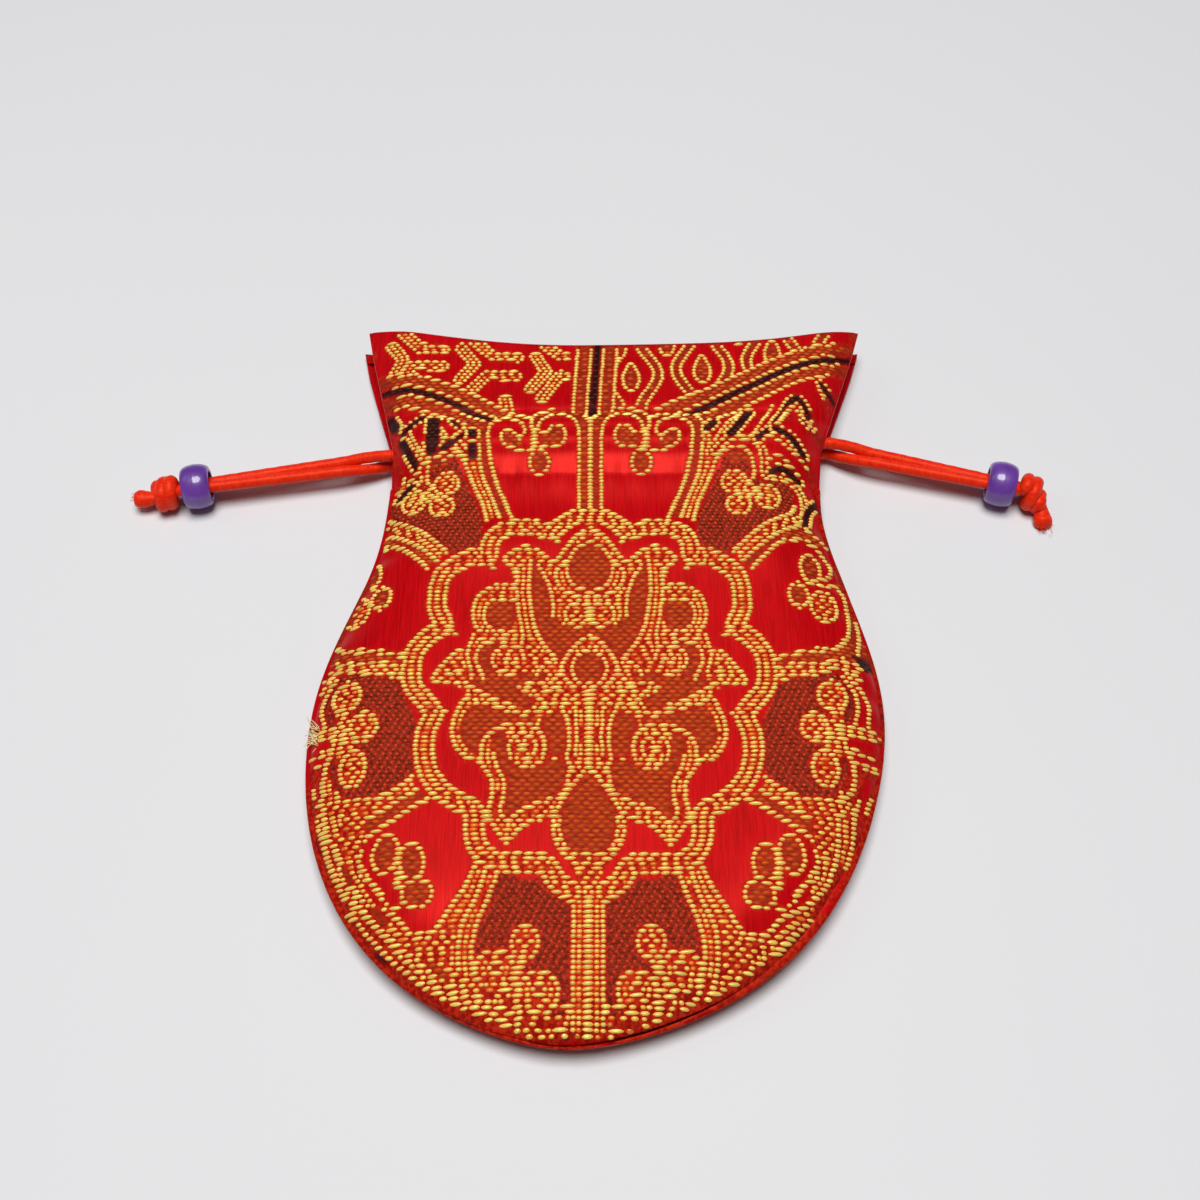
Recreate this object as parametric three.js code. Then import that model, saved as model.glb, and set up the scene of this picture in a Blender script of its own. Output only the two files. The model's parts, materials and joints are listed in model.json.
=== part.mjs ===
// A small kinchaku drawstring pouch lying flat and empty, in millimetres.
// +X points to the pouch's right, +Y to its mouth and +Z up. The underside rests on z = 0.
// The pouch is two brocade panels sewn together along the sides and the round bottom, each with a
// satin lining. Two drawcords run round the neck in the channel between panel and lining, one
// leaving at each side. Its two tails pass through a bead and end in one overhand knot.
import * as THREE from "three";
import { mergeVertices } from "three/addons/utils/BufferGeometryUtils.js";

// Outline. A station is the distance from the bottom tip towards the mouth.
const LENGTH = 149; // tip to the mouth's corners
const BELLY_HALF_WIDTH = 51.2; // at the widest station
const BELLY_STATION = 58;
const TIP_PINCH = 0.22; // how much narrower than an ellipse the outline is at the tip
const TIP_PINCH_REACH = 4;
const NECK_HALF_WIDTH = 42.3;
const NECK_STATION = 106; // the sides stop drawing in here
const FLARE_STATION = 117; // the heading widens from here to the mouth
const FLARE_SLOPE = 0.29;
const LEAN_SLOPE = 0.047; // the centre line runs slightly to the right towards the mouth
const LEAN_STATION = 107.5; // where the centre line crosses x = 0
const FRONT_MOUTH_DIP = 4.2; // how far the mouth's edge sags in the middle
const BACK_MOUTH_DIP = 1.6;
const DIP_STATION = 128;

// Layers
const PANEL = 0.7; // brocade with its backing
const LINING = 0.4; // satin
const GAP = 0.3; // clearance between pieces that touch
const CORD = 2.3; // diameter of the satin drawcord
const CHANNEL_LIFT = CORD + GAP; // the lining's extra distance from the panel at the channel

// Heights of the front panel's upper face and of the back panel's underside
const BODY_HEIGHT = 10.2;
const NECK_HEIGHT = 12.5;
const MOUTH_HEIGHT = 10.8;
const FRONT_SEAM_HEIGHT = 5.7;
const FRONT_SLIT_HEIGHT = 8.2;
const BACK_SEAM_HEIGHT = 4.1;
const BACK_SLIT_HEIGHT = 0.6;
const FRONT_DOME_REACH = 16; // how far from the edge the front panel is curved
const SLIT_DOME_REACH = 12;
const BACK_DOME_REACH = 10;
const FRONT_DOME_POWER = 2.6;
const BACK_DOME_POWER = 2;
const NECK_RISE_STATION = 100; // the front panel rises to the neck's height from here
const MOUTH_SETTLE_STATION = 142; // it has come down to the mouth's height here

// The side seams end and the channel starts at the first of these stations.
const SEAM_END = 109;
const SLIT_OPEN = 116;
const CHANNEL_START = 114;
const CHANNEL_END = 125;
const CHANNEL_OUT = 130;
const LINING_INSET = 2; // from the panel's edge
const CHANNEL_INSET = 7; // room at the channel's ends for a cord to turn back

// Cords, beads and knots
const LEFT_CORD_STATION = 118;
const RIGHT_CORD_STATION = 121.2;
const TURN_INSET = 5; // where a cord starts to turn from the front channel to the back one
const EXIT_REACH = 0.5; // how far the held part of a cord stands out of its channel
const LEVEL_INSET = 0.6; // from here out a held cord runs level
const BEND_INSET = 2.6; // other places along a held cord, in from the pouch's edge
const CURVE_INSET = 9;
const STRAIGHT_INSET = 15;
const MIDDLE = 10; // and either side of the pouch's middle
const LEAVE_REACH = 0.8; // how far a tail runs straight out before it bends
const TAIL_HEIGHT = 4.6; // height of the tails' straight run, through the beads
const TAIL_SPREAD = CORD / 2 + GAP / 2; // each tail's distance from the middle of the pair
const BEAD_RADIUS = 4.5;
const BEAD_HOLE_RADIUS = 2.75;
const BEAD_RIM_RADIUS = 3.45; // round the hole, at each end
const BEAD_HOLE_CHAMFER = 0.5;
const BEAD_SHOULDER_POWER = 0.7; // below 1, the barrel's shoulders are full
const BEAD_LENGTH = 5.6;
const LEFT_BEAD = new THREE.Vector3(-81.3, 36.9, TAIL_HEIGHT);
const RIGHT_BEAD = new THREE.Vector3(79.1, 37.5, TAIL_HEIGHT);
const LEFT_PAIR_START = new THREE.Vector3(-47.4, 42.8, TAIL_HEIGHT);
const RIGHT_PAIR_START = new THREE.Vector3(49.3, 45.4, TAIL_HEIGHT);
const KNOT_DROP = 7; // degrees that a knot points down, towards the surface
const KNOT_SAG = 0.4; // how far its start hangs below the bead's axis
const KNOT_PROFILE = [
  // radius, distance from the bead: a round bulb, then the cut ends side by side
  [0, 0], [2.2, 0.2], [3.3, 1.4], [3.7, 3.2], [3.3, 5.0], [2.3, 6.2], [1.7, 6.8], [1.9, 8.0],
];
const KNOT_END_RADIUS = 1.8;

const CORD_SIDES = 8;
const COLUMNS = 16;
const BELLY_ROWS = 9;
const UPPER_STATIONS = [
  66, 74, 83, 92, 100, 105, 109, 112, 115, 118, 121.2, 125, 129, 134, 140, 145, LENGTH,
];
const LOOP_STEPS = 52; // sections along a cord's held part
const TAIL_STEPS = 20; // and along a free tail
const BEAD_SEGMENTS = 24;
const KNOT_SEGMENTS = 14;

const finish = (color, roughness, metalness = 0) =>
  new THREE.MeshStandardMaterial({ color, roughness, metalness });
const BROCADE = finish(0xb8541c, 0.55, 0.15);
const SATIN = finish(0xb01414, 0.4);
const CORD_SATIN = finish(0xe8321a, 0.45);
const BEAD_PLASTIC = finish(0x7a4cc4, 0.15);

const smooth = (low, high, value) => THREE.MathUtils.smoothstep(value, low, high);
const mix = THREE.MathUtils.lerp;

// Half the pouch's width at a station.
function halfWidth(station) {
  if (station < BELLY_STATION) {
    const rise = (BELLY_STATION - station) / BELLY_STATION;
    const pinch = 1 - TIP_PINCH * Math.exp(-station / TIP_PINCH_REACH);
    return BELLY_HALF_WIDTH * pinch * Math.sqrt(1 - rise * rise);
  }
  if (station < NECK_STATION) {
    const along = (station - BELLY_STATION) / (NECK_STATION - BELLY_STATION);
    return mix(BELLY_HALF_WIDTH, NECK_HALF_WIDTH, (1 - Math.cos(Math.PI * along)) / 2);
  }
  return NECK_HALF_WIDTH + FLARE_SLOPE * Math.max(0, station - FLARE_STATION);
}

const centreLine = (station) => LEAN_SLOPE * (station - LEAN_STATION);
const slitOpening = (station) => smooth(SEAM_END, SLIT_OPEN, station);
const channelShare = (station) =>
  smooth(SEAM_END, CHANNEL_START, station) * (1 - smooth(CHANNEL_END, CHANNEL_OUT, station));

// Distance in from the pouch's edge, for a point given across the pouch and by its station.
function edgeDistance(across, station) {
  if (station >= BELLY_STATION) return Math.max(0, halfWidth(station) - Math.abs(across));
  const rise = (BELLY_STATION - station) / BELLY_STATION;
  const radius = Math.hypot(across / BELLY_HALF_WIDTH, rise);
  return Math.max(0, (1 - radius) * BELLY_HALF_WIDTH);
}

// 0 at the edge and 1 from the given reach inwards.
const dome = (distance, reach, power) => 1 - (1 - Math.min(1, distance / reach)) ** power;

// Upper face of the front panel.
function frontHeight(across, station) {
  const neck = smooth(NECK_RISE_STATION, CHANNEL_START, station);
  const mouth = smooth(CHANNEL_END, MOUTH_SETTLE_STATION, station);
  const crown = mix(mix(BODY_HEIGHT, NECK_HEIGHT, neck), MOUTH_HEIGHT, mouth);
  const edge = mix(FRONT_SEAM_HEIGHT, FRONT_SLIT_HEIGHT, slitOpening(station));
  const reach = mix(FRONT_DOME_REACH, SLIT_DOME_REACH, slitOpening(station));
  return mix(edge, crown, dome(edgeDistance(across, station), reach, FRONT_DOME_POWER));
}

// Underside of the back panel.
function backHeight(across, station) {
  const edge = mix(BACK_SEAM_HEIGHT, BACK_SLIT_HEIGHT, slitOpening(station));
  return mix(edge, 0, dome(edgeDistance(across, station), BACK_DOME_REACH, BACK_DOME_POWER));
}

const frontLiningHeight = (across, station) =>
  frontHeight(across, station) - PANEL - GAP - CHANNEL_LIFT * channelShare(station);
const backLiningHeight = (across, station) =>
  backHeight(across, station) + PANEL + GAP + CHANNEL_LIFT * channelShare(station);

// A sheet of cloth as one closed solid: a grid of columns across and stations along, from a point
// at the tip, with its upper and lower faces given by height functions.
function clothGeometry({ stations, width, upper, lower, dip }) {
  const positions = [];
  const place = (across, station, share, height) => {
    const sag = dip * (1 - share * share) * smooth(DIP_STATION, LENGTH, station);
    positions.push(across + centreLine(station), station - sag - LENGTH / 2, height);
  };
  const shares = Array.from({ length: COLUMNS + 1 }, (_, j) => -Math.cos((Math.PI * j) / COLUMNS));
  for (const height of [upper, lower]) {
    place(0, stations[0], 0, height(0, stations[0]));
    for (const station of stations.slice(1))
      for (const share of shares) {
        const across = share * width(station);
        place(across, station, share, height(across, station));
      }
  }
  const side = positions.length / 6; // vertices in each of the two faces
  const vertex = (face, row, column) =>
    face * side + (row === 0 ? 0 : 1 + (row - 1) * (COLUMNS + 1) + column);
  const index = [];
  const triangle = (a, b, c) => {
    if (a !== b && b !== c && c !== a) index.push(a, b, c);
  };
  const quad = (a, b, c, d) => {
    triangle(a, b, c);
    triangle(a, c, d);
  };
  const rows = stations.length - 1;
  for (let row = 0; row < rows; row++)
    for (let column = 0; column < COLUMNS; column++) {
      const corners = (face) => [
        vertex(face, row, column),
        vertex(face, row, column + 1),
        vertex(face, row + 1, column + 1),
        vertex(face, row + 1, column),
      ];
      quad(...corners(0));
      const [a, b, c, d] = corners(1);
      quad(d, c, b, a);
    }
  const wall = (row, column, nextRow, nextColumn) =>
    quad(
      vertex(1, row, column),
      vertex(1, nextRow, nextColumn),
      vertex(0, nextRow, nextColumn),
      vertex(0, row, column),
    );
  for (let row = 0; row < rows; row++) {
    wall(row, COLUMNS, row + 1, COLUMNS);
    wall(row + 1, 0, row, 0);
  }
  for (let column = 0; column < COLUMNS; column++) wall(rows, column + 1, rows, column);
  const geometry = new THREE.BufferGeometry();
  geometry.setAttribute("position", new THREE.Float32BufferAttribute(positions, 3));
  geometry.setIndex(index);
  return geometry;
}

// Stations crowd towards the tip, where the outline is round.
function stationsFrom(tip) {
  const belly = Array.from({ length: BELLY_ROWS + 1 }, (_, i) =>
    mix(tip, BELLY_STATION, 1 - Math.cos((Math.PI * i) / (2 * BELLY_ROWS))));
  return [...belly, ...UPPER_STATIONS];
}

function panel(name, upper, lower, dip) {
  const geometry = clothGeometry({ stations: stationsFrom(0), width: halfWidth, upper, lower, dip });
  return namedMesh(name, geometry, BROCADE);
}

function lining(name, upper, lower, dip) {
  const inset = (station) => mix(LINING_INSET, CHANNEL_INSET, channelShare(station));
  const width = (station) => {
    if (station >= BELLY_STATION) return halfWidth(station) - inset(station);
    const rise = (BELLY_STATION - station) / (BELLY_STATION - LINING_INSET);
    return (BELLY_HALF_WIDTH - LINING_INSET) * Math.sqrt(Math.max(0, 1 - rise ** 2));
  };
  const stations = stationsFrom(LINING_INSET);
  return namedMesh(name, clothGeometry({ stations, width, upper, lower, dip }), SATIN);
}

function namedMesh(name, geometry, material) {
  const mesh = new THREE.Mesh(geometry, material);
  mesh.name = name;
  return mesh;
}

// A round cord along a smooth curve through the points.
function cord(name, points, steps) {
  const section = new THREE.Shape(
    Array.from({ length: CORD_SIDES }, (_, i) => {
      const angle = (2 * Math.PI * i) / CORD_SIDES;
      return new THREE.Vector2((CORD / 2) * Math.cos(angle), (CORD / 2) * Math.sin(angle));
    }),
  );
  const path = new THREE.CatmullRomCurve3(points, false, "centripetal");
  const geometry = new THREE.ExtrudeGeometry(section, { steps, extrudePath: path, curveSegments: 1 });
  geometry.deleteAttribute("normal");
  geometry.deleteAttribute("uv");
  return namedMesh(name, mergeVertices(geometry, 1e-4), CORD_SATIN);
}

// Centre height of a cord in the front channel: it keeps its clearance square to the sloping panel.
function frontRun(across, station) {
  const inside = Math.min(Math.abs(across), halfWidth(station) - LEVEL_INSET);
  const slope = frontHeight(inside, station) - frontHeight(inside - 1, station);
  return frontHeight(inside, station) - PANEL - (GAP + CORD / 2) * Math.hypot(1, slope);
}

// The same in the back channel, which curves up a little at its ends.
function backRun(across, station) {
  const inside = Math.min(Math.abs(across), halfWidth(station) - LEVEL_INSET);
  const slope = backHeight(inside, station) - backHeight(inside - 1, station);
  return backHeight(inside, station) + PANEL + (GAP + CORD / 2) * Math.hypot(1, slope);
}

// The part of a drawcord that the channels hold: across the front, round the far side and back.
// exitSide is -1 for the cord whose tails leave at the left, and 1 for the right.
function cordLoop(name, exitSide, station) {
  const y = station - LENGTH / 2;
  const width = halfWidth(station);
  const point = (across, z) => new THREE.Vector3(exitSide * across + centreLine(station), y, z);
  const end = [
    width + EXIT_REACH, width - LEVEL_INSET, width - BEND_INSET, width - TURN_INSET, width - CURVE_INSET,
  ];
  const front = [
    ...end, width - STRAIGHT_INSET, MIDDLE, -MIDDLE, STRAIGHT_INSET - width, CURVE_INSET - width,
  ];
  const turnAcross = TURN_INSET - width;
  const turnTop = frontRun(turnAcross, station) - GAP;
  const turnBottom = backRun(turnAcross, station) + GAP;
  const turnMiddle = (turnTop + turnBottom) / 2;
  const turnRadius = (turnTop - turnBottom) / 2;
  const turn = [90, 60, 30, 0, -30, -60, -90].map((degrees) => {
    const angle = THREE.MathUtils.degToRad(degrees);
    return point(turnAcross - turnRadius * Math.cos(angle), turnMiddle + turnRadius * Math.sin(angle));
  });
  const back = [CURVE_INSET - width, -MIDDLE, MIDDLE, ...end.toReversed()];
  return cord(
    name,
    [
      ...front.map((across) => point(across, frontRun(across, station))),
      ...turn,
      ...back.map((across) => point(across, backRun(across, station))),
    ],
    LOOP_STEPS,
  );
}

// One free tail, from its channel to the knot: it joins its twin and runs straight through the bead.
// lane is 1 for the tail from the front channel and -1 for the one from the back channel.
function cordTail(name, { exitSide, station, bead, pairStart }, lane) {
  const along = bead.clone().sub(pairStart).normalize();
  const sideways = new THREE.Vector3(0, 0, 1).cross(along);
  sideways.multiplyScalar(-exitSide * lane * TAIL_SPREAD);
  const exitAcross = exitSide * (halfWidth(station) + EXIT_REACH + GAP);
  const exitHeight = (lane > 0 ? frontRun : backRun)(exitAcross, station);
  const exit = new THREE.Vector3(exitAcross + centreLine(station), station - LENGTH / 2, exitHeight);
  const start = pairStart.clone().add(sideways);
  const end = bead.clone().addScaledVector(along, BEAD_LENGTH / 2 + GAP).add(sideways);
  const run = [0, 0.08, 0.35, 0.65, 1].map((share) => start.clone().lerp(end, share));
  const leaving = exit.clone().add(new THREE.Vector3(exitSide * LEAVE_REACH, 0, 0));
  const parting = leaving.clone().lerp(start, 0.5).addScaledVector(sideways, 0.5);
  return cord(name, [exit, leaving, parting, ...run], TAIL_STEPS);
}

// Turns a shape made round +Y so that +Y points along the given direction.
function pointAlong(mesh, direction) {
  mesh.quaternion.setFromUnitVectors(new THREE.Vector3(0, 1, 0), direction);
  return mesh;
}

// A barrel-shaped moulded bead with its hole along the tails.
function bead(name, { bead: centre, pairStart }) {
  const half = BEAD_LENGTH / 2;
  const outer = [-90, -60, -30, 0, 30, 60, 90].map((degrees) => {
    const angle = THREE.MathUtils.degToRad(degrees);
    const bulge = Math.cos(angle) ** BEAD_SHOULDER_POWER;
    return new THREE.Vector2(mix(BEAD_RIM_RADIUS, BEAD_RADIUS, bulge), half * Math.sin(angle));
  });
  const hole = [
    new THREE.Vector2(BEAD_HOLE_RADIUS, half - BEAD_HOLE_CHAMFER),
    new THREE.Vector2(BEAD_HOLE_RADIUS, BEAD_HOLE_CHAMFER - half),
  ];
  const profile = [...outer, ...hole, outer[0].clone()];
  const geometry = closedLathe(profile, BEAD_SEGMENTS);
  const mesh = namedMesh(name, geometry, BEAD_PLASTIC);
  mesh.position.copy(centre);
  return pointAlong(mesh, centre.clone().sub(pairStart).normalize());
}

// The overhand knot that ties both tails, with their cut ends beyond it.
function knot(name, { bead: centre, pairStart, ends }) {
  const profile = [...KNOT_PROFILE, [KNOT_END_RADIUS, ends], [0, ends]];
  const outline = profile.map(([radius, along]) => new THREE.Vector2(radius, along));
  const mesh = namedMesh(name, closedLathe(outline, KNOT_SEGMENTS), CORD_SATIN);
  const along = centre.clone().sub(pairStart).normalize();
  mesh.position.copy(centre).addScaledVector(along, BEAD_LENGTH / 2 + 2 * GAP);
  mesh.position.z -= KNOT_SAG;
  const drop = Math.tan(THREE.MathUtils.degToRad(KNOT_DROP));
  return pointAlong(mesh, along.clone().add(new THREE.Vector3(0, 0, -drop)).normalize());
}

// A lathed solid with its seam merged.
function closedLathe(profile, segments) {
  const geometry = new THREE.LatheGeometry(profile, segments);
  geometry.deleteAttribute("normal");
  geometry.deleteAttribute("uv");
  return mergeVertices(geometry, 1e-4);
}

const LEFT = {
  exitSide: -1, station: LEFT_CORD_STATION, bead: LEFT_BEAD, pairStart: LEFT_PAIR_START, ends: 10.4,
};
const RIGHT = {
  exitSide: 1, station: RIGHT_CORD_STATION, bead: RIGHT_BEAD, pairStart: RIGHT_PAIR_START, ends: 9.6,
};

const cloth = new THREE.Group();
cloth.add(
  panel(
    "front_panel",
    frontHeight,
    (across, station) => frontHeight(across, station) - PANEL,
    FRONT_MOUTH_DIP,
  ),
  panel(
    "back_panel",
    (across, station) => backHeight(across, station) + PANEL,
    backHeight,
    BACK_MOUTH_DIP,
  ),
  lining(
    "front_lining",
    frontLiningHeight,
    (across, station) => frontLiningHeight(across, station) - LINING,
    FRONT_MOUTH_DIP,
  ),
  lining(
    "back_lining",
    (across, station) => backLiningHeight(across, station) + LINING,
    backLiningHeight,
    BACK_MOUTH_DIP,
  ),
);

function drawcord(sideName, side) {
  const group = new THREE.Group();
  group.add(
    cordLoop(`${sideName}_cord_loop`, side.exitSide, side.station),
    cordTail(`${sideName}_cord_tail_front`, side, 1),
    cordTail(`${sideName}_cord_tail_back`, side, -1),
    bead(`${sideName}_bead`, side),
    knot(`${sideName}_knot`, side),
  );
  return group;
}

const pouch = new THREE.Group();
pouch.add(cloth, drawcord("left", LEFT), drawcord("right", RIGHT));

export default pouch;
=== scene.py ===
"""A kinchaku drawstring pouch of red and gold brocade, lying flat and empty.

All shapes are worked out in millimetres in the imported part's frame (+X right, +Y towards the mouth,
+Z up) and scaled to metres when a mesh is made.
"""
import json
import math

import bpy
import numpy as np
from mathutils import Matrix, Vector

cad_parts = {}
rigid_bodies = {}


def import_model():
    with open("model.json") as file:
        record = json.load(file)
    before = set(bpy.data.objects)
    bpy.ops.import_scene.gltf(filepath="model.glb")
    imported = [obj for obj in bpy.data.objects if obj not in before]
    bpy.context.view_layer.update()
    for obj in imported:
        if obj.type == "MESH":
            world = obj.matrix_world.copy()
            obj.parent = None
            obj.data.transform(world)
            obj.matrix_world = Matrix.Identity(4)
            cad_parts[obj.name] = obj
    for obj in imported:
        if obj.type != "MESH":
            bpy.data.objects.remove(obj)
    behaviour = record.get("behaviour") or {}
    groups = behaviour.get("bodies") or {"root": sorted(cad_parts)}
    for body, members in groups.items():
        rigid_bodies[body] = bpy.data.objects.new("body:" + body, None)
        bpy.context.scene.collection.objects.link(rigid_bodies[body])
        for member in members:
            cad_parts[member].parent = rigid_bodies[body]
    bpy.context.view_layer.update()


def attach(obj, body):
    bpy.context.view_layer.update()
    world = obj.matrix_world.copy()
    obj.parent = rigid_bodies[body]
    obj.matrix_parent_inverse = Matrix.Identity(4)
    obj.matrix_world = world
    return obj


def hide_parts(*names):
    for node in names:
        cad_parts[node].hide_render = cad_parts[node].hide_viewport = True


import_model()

MM = 0.001
rng = np.random.default_rng(7)

# ---- outline and layers, as in the part
LENGTH = 149.0
BELLY_HALF_WIDTH, BELLY_STATION = 51.2, 58.0
TIP_PINCH, TIP_PINCH_REACH = 0.22, 4.0
NECK_HALF_WIDTH, NECK_STATION = 42.3, 106.0
FLARE_STATION, FLARE_SLOPE = 117.0, 0.29
LEAN_SLOPE, LEAN_STATION = 0.047, 107.5
FRONT_MOUTH_DIP, BACK_MOUTH_DIP, DIP_STATION = 5.6, 1.6, 128.0
SAG_POWER = 2.4  # how flat the middle of the mouth's sag is
PANEL, LINING, GAP, CORD = 0.7, 0.4, 0.3, 2.3
CHANNEL_LIFT = CORD + GAP
BODY_HEIGHT, NECK_HEIGHT, MOUTH_HEIGHT = 10.2, 12.5, 10.8
FRONT_SEAM_HEIGHT, FRONT_SLIT_HEIGHT = 5.7, 8.2
BACK_SEAM_HEIGHT, BACK_SLIT_HEIGHT = 4.1, 0.6
FRONT_DOME_REACH, SLIT_DOME_REACH, BACK_DOME_REACH = 16.0, 12.0, 10.0
FRONT_DOME_POWER, BACK_DOME_POWER = 2.6, 2.0
SEAM_END, SLIT_OPEN = 109.0, 116.0
CHANNEL_START, CHANNEL_END, CHANNEL_OUT = 114.0, 125.0, 130.0
LOWER_STITCH, UPPER_STITCH = 109.4, 124.6
TAIL_HEIGHT = 4.6
TAIL_SPREAD = CORD / 2 + GAP / 2
PAIR_TURN = math.radians(38)  # at the bead the nearer tail rides over the other
BEAD_LENGTH, BEAD_RADIUS, BEAD_HOLE = 5.6, 4.5, 2.75
HEM_ROLL, HEM_DEPTH, SEAM_ROLL = 0.42, 2.4, 0.32  # how the panels' edges turn in
SIDES = {
    "left": dict(sign=-1, station=118.0, bead=(-81.3, 36.9), start=(-47.4, 42.8)),
    "right": dict(sign=1, station=121.2, bead=(79.1, 37.5), start=(49.3, 45.4)),
}


def smooth(low, high, value):
    t = np.clip((np.asarray(value, float) - low) / (high - low), 0, 1)
    return t * t * (3 - 2 * t)


def mix(a, b, share):
    return a + (b - a) * share


def half_width(s):
    s = np.asarray(s, float)
    rise = np.clip((BELLY_STATION - s) / BELLY_STATION, 0, 1)
    low = BELLY_HALF_WIDTH * (1 - TIP_PINCH * np.exp(-s / TIP_PINCH_REACH)) * np.sqrt(1 - rise * rise)
    along = np.clip((s - BELLY_STATION) / (NECK_STATION - BELLY_STATION), 0, 1)
    high = mix(BELLY_HALF_WIDTH, NECK_HALF_WIDTH, (1 - np.cos(np.pi * along)) / 2)
    high = high + FLARE_SLOPE * np.maximum(0, s - FLARE_STATION)
    return np.where(s < BELLY_STATION, low, high)


def centre_line(s):
    s = np.asarray(s, float)
    belly = 0.95 * smooth(15, 60, s) * (1 - smooth(86, 107, s))
    return LEAN_SLOPE * (s - LEAN_STATION) + belly - 1.5 * np.exp(-s / 8)


def edge_distance(across, s):
    rise = (BELLY_STATION - s) / BELLY_STATION
    round_part = (1 - np.hypot(across / BELLY_HALF_WIDTH, rise)) * BELLY_HALF_WIDTH
    return np.maximum(0, np.where(s >= BELLY_STATION, half_width(s) - np.abs(across), round_part))


def dome(distance, reach, power):
    return 1 - (1 - np.minimum(1, distance / reach)) ** power


def slit_opening(s):
    return smooth(SEAM_END, SLIT_OPEN, s)


def channel_share(s):
    return smooth(SEAM_END, CHANNEL_START, s) * (1 - smooth(CHANNEL_END, CHANNEL_OUT, s))


def front_height(across, s):
    crown = mix(mix(BODY_HEIGHT, NECK_HEIGHT, smooth(100, CHANNEL_START, s)), MOUTH_HEIGHT, smooth(CHANNEL_END, 142, s))
    edge = mix(FRONT_SEAM_HEIGHT, FRONT_SLIT_HEIGHT, slit_opening(s))
    reach = mix(FRONT_DOME_REACH, SLIT_DOME_REACH, slit_opening(s))
    return mix(edge, crown, dome(edge_distance(across, s), reach, FRONT_DOME_POWER))


def back_height(across, s):
    edge = mix(BACK_SEAM_HEIGHT, BACK_SLIT_HEIGHT, slit_opening(s))
    return mix(edge, 0, dome(edge_distance(across, s), BACK_DOME_REACH, BACK_DOME_POWER))


# ---- nodes and meshes
def material(name):
    made = bpy.data.materials.new(name)
    made.use_nodes = True
    return made, made.node_tree, made.node_tree.nodes["Principled BSDF"]


def plug(tree, made, inputs):
    """Link each socket to another node's output, or set its own value."""
    for key, value in inputs.items():
        if isinstance(value, bpy.types.NodeSocket):
            tree.links.new(value, made.inputs[key])
        else:
            made.inputs[key].default_value = value


def node(tree, kind, inputs, **settings):
    made = tree.nodes.new(kind)
    for key, value in settings.items():
        setattr(made, key, value)
    plug(tree, made, inputs)
    return made


def stretched(tree, scale, detail=2.0, roughness=0.5, coordinates="Object"):
    """Noise in stretched cells: scale is how many cells there are in a metre along X, Y and Z."""
    place = node(tree, "ShaderNodeTexCoord", {})
    mapped = node(tree, "ShaderNodeMapping", {"Vector": place.outputs[coordinates], "Scale": scale})
    settings = {"Vector": mapped.outputs["Vector"], "Scale": 1.0, "Detail": detail, "Roughness": roughness}
    return node(tree, "ShaderNodeTexNoise", settings).outputs["Fac"]


def ramp(tree, value, low, high):
    return node(tree, "ShaderNodeMapRange", {"Value": value, "From Min": low, "From Max": high}).outputs["Result"]


def blend_colours(tree, share, a, b):
    a, b = ((*c, 1.0) if isinstance(c, tuple) else c for c in (a, b))
    return node(tree, "ShaderNodeMix", {0: share, 6: a, 7: b}, data_type="RGBA").outputs[2]


def math_node(tree, operation, a, b):
    return node(tree, "ShaderNodeMath", {0: a, 1: b}, operation=operation).outputs[0]


def bump(tree, shader, height, distance, strength=1.0):
    made = node(tree, "ShaderNodeBump", {"Height": height, "Distance": distance, "Strength": strength})
    tree.links.new(made.outputs["Normal"], shader.inputs["Normal"])


def mesh_object(name, points, quads, finish, body="pouch"):
    mesh = bpy.data.meshes.new(name)
    points = np.ascontiguousarray(np.asarray(points, float) * MM, np.float32)
    quads = np.ascontiguousarray(quads, np.int32)
    mesh.vertices.add(len(points))
    mesh.vertices.foreach_set("co", points.ravel())
    mesh.loops.add(quads.size)
    mesh.loops.foreach_set("vertex_index", quads.ravel())
    mesh.polygons.add(len(quads))
    mesh.polygons.foreach_set("loop_start", np.arange(len(quads), dtype=np.int32) * quads.shape[1])
    mesh.polygons.foreach_set("use_smooth", np.ones(len(quads), bool))
    mesh.update(calc_edges=True)
    mesh.materials.append(finish)
    made = bpy.data.objects.new(name, mesh)
    bpy.context.scene.collection.objects.link(made)
    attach(made, body)
    return made


def set_colours(made, name, values):
    layer = made.data.color_attributes.new(name, "FLOAT_COLOR", "POINT")
    values = np.asarray(values, np.float32)
    if values.shape[1] == 3:
        values = np.hstack([values, np.ones((len(values), 1), np.float32)])
    layer.data.foreach_set("color", values.ravel())


def grid_quads(rows, columns, wrap=False):
    """Quads of a grid of points stored row by row; wrap joins the last column to the first."""
    r, c = np.meshgrid(np.arange(rows - 1), np.arange(columns if wrap else columns - 1), indexing="ij")
    n = (c + 1) % columns
    corners = [r * columns + c, r * columns + n, (r + 1) * columns + n, (r + 1) * columns + c]
    return np.stack(corners, -1).reshape(-1, 4)


def curve(points, steps=6, closed=False):
    """A smooth line through the points."""
    p = np.asarray(points, float)
    if closed:
        p = np.vstack([p[-1], p, p[0], p[1]])
    else:
        p = np.vstack([2 * p[0] - p[1], p, 2 * p[-1] - p[-2]])
    t = np.linspace(0, 1, steps, endpoint=False)[:, None]
    out = []
    for a, b, c, d in zip(p[:-3], p[1:-2], p[2:-1], p[3:]):
        bend, twist = 2 * a - 5 * b + 4 * c - d, 3 * b - a - 3 * c + d
        out.append(0.5 * (2 * b + (c - a) * t + bend * t**2 + twist * t**3))
    return np.vstack([*out, p[-2][None]])


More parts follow.
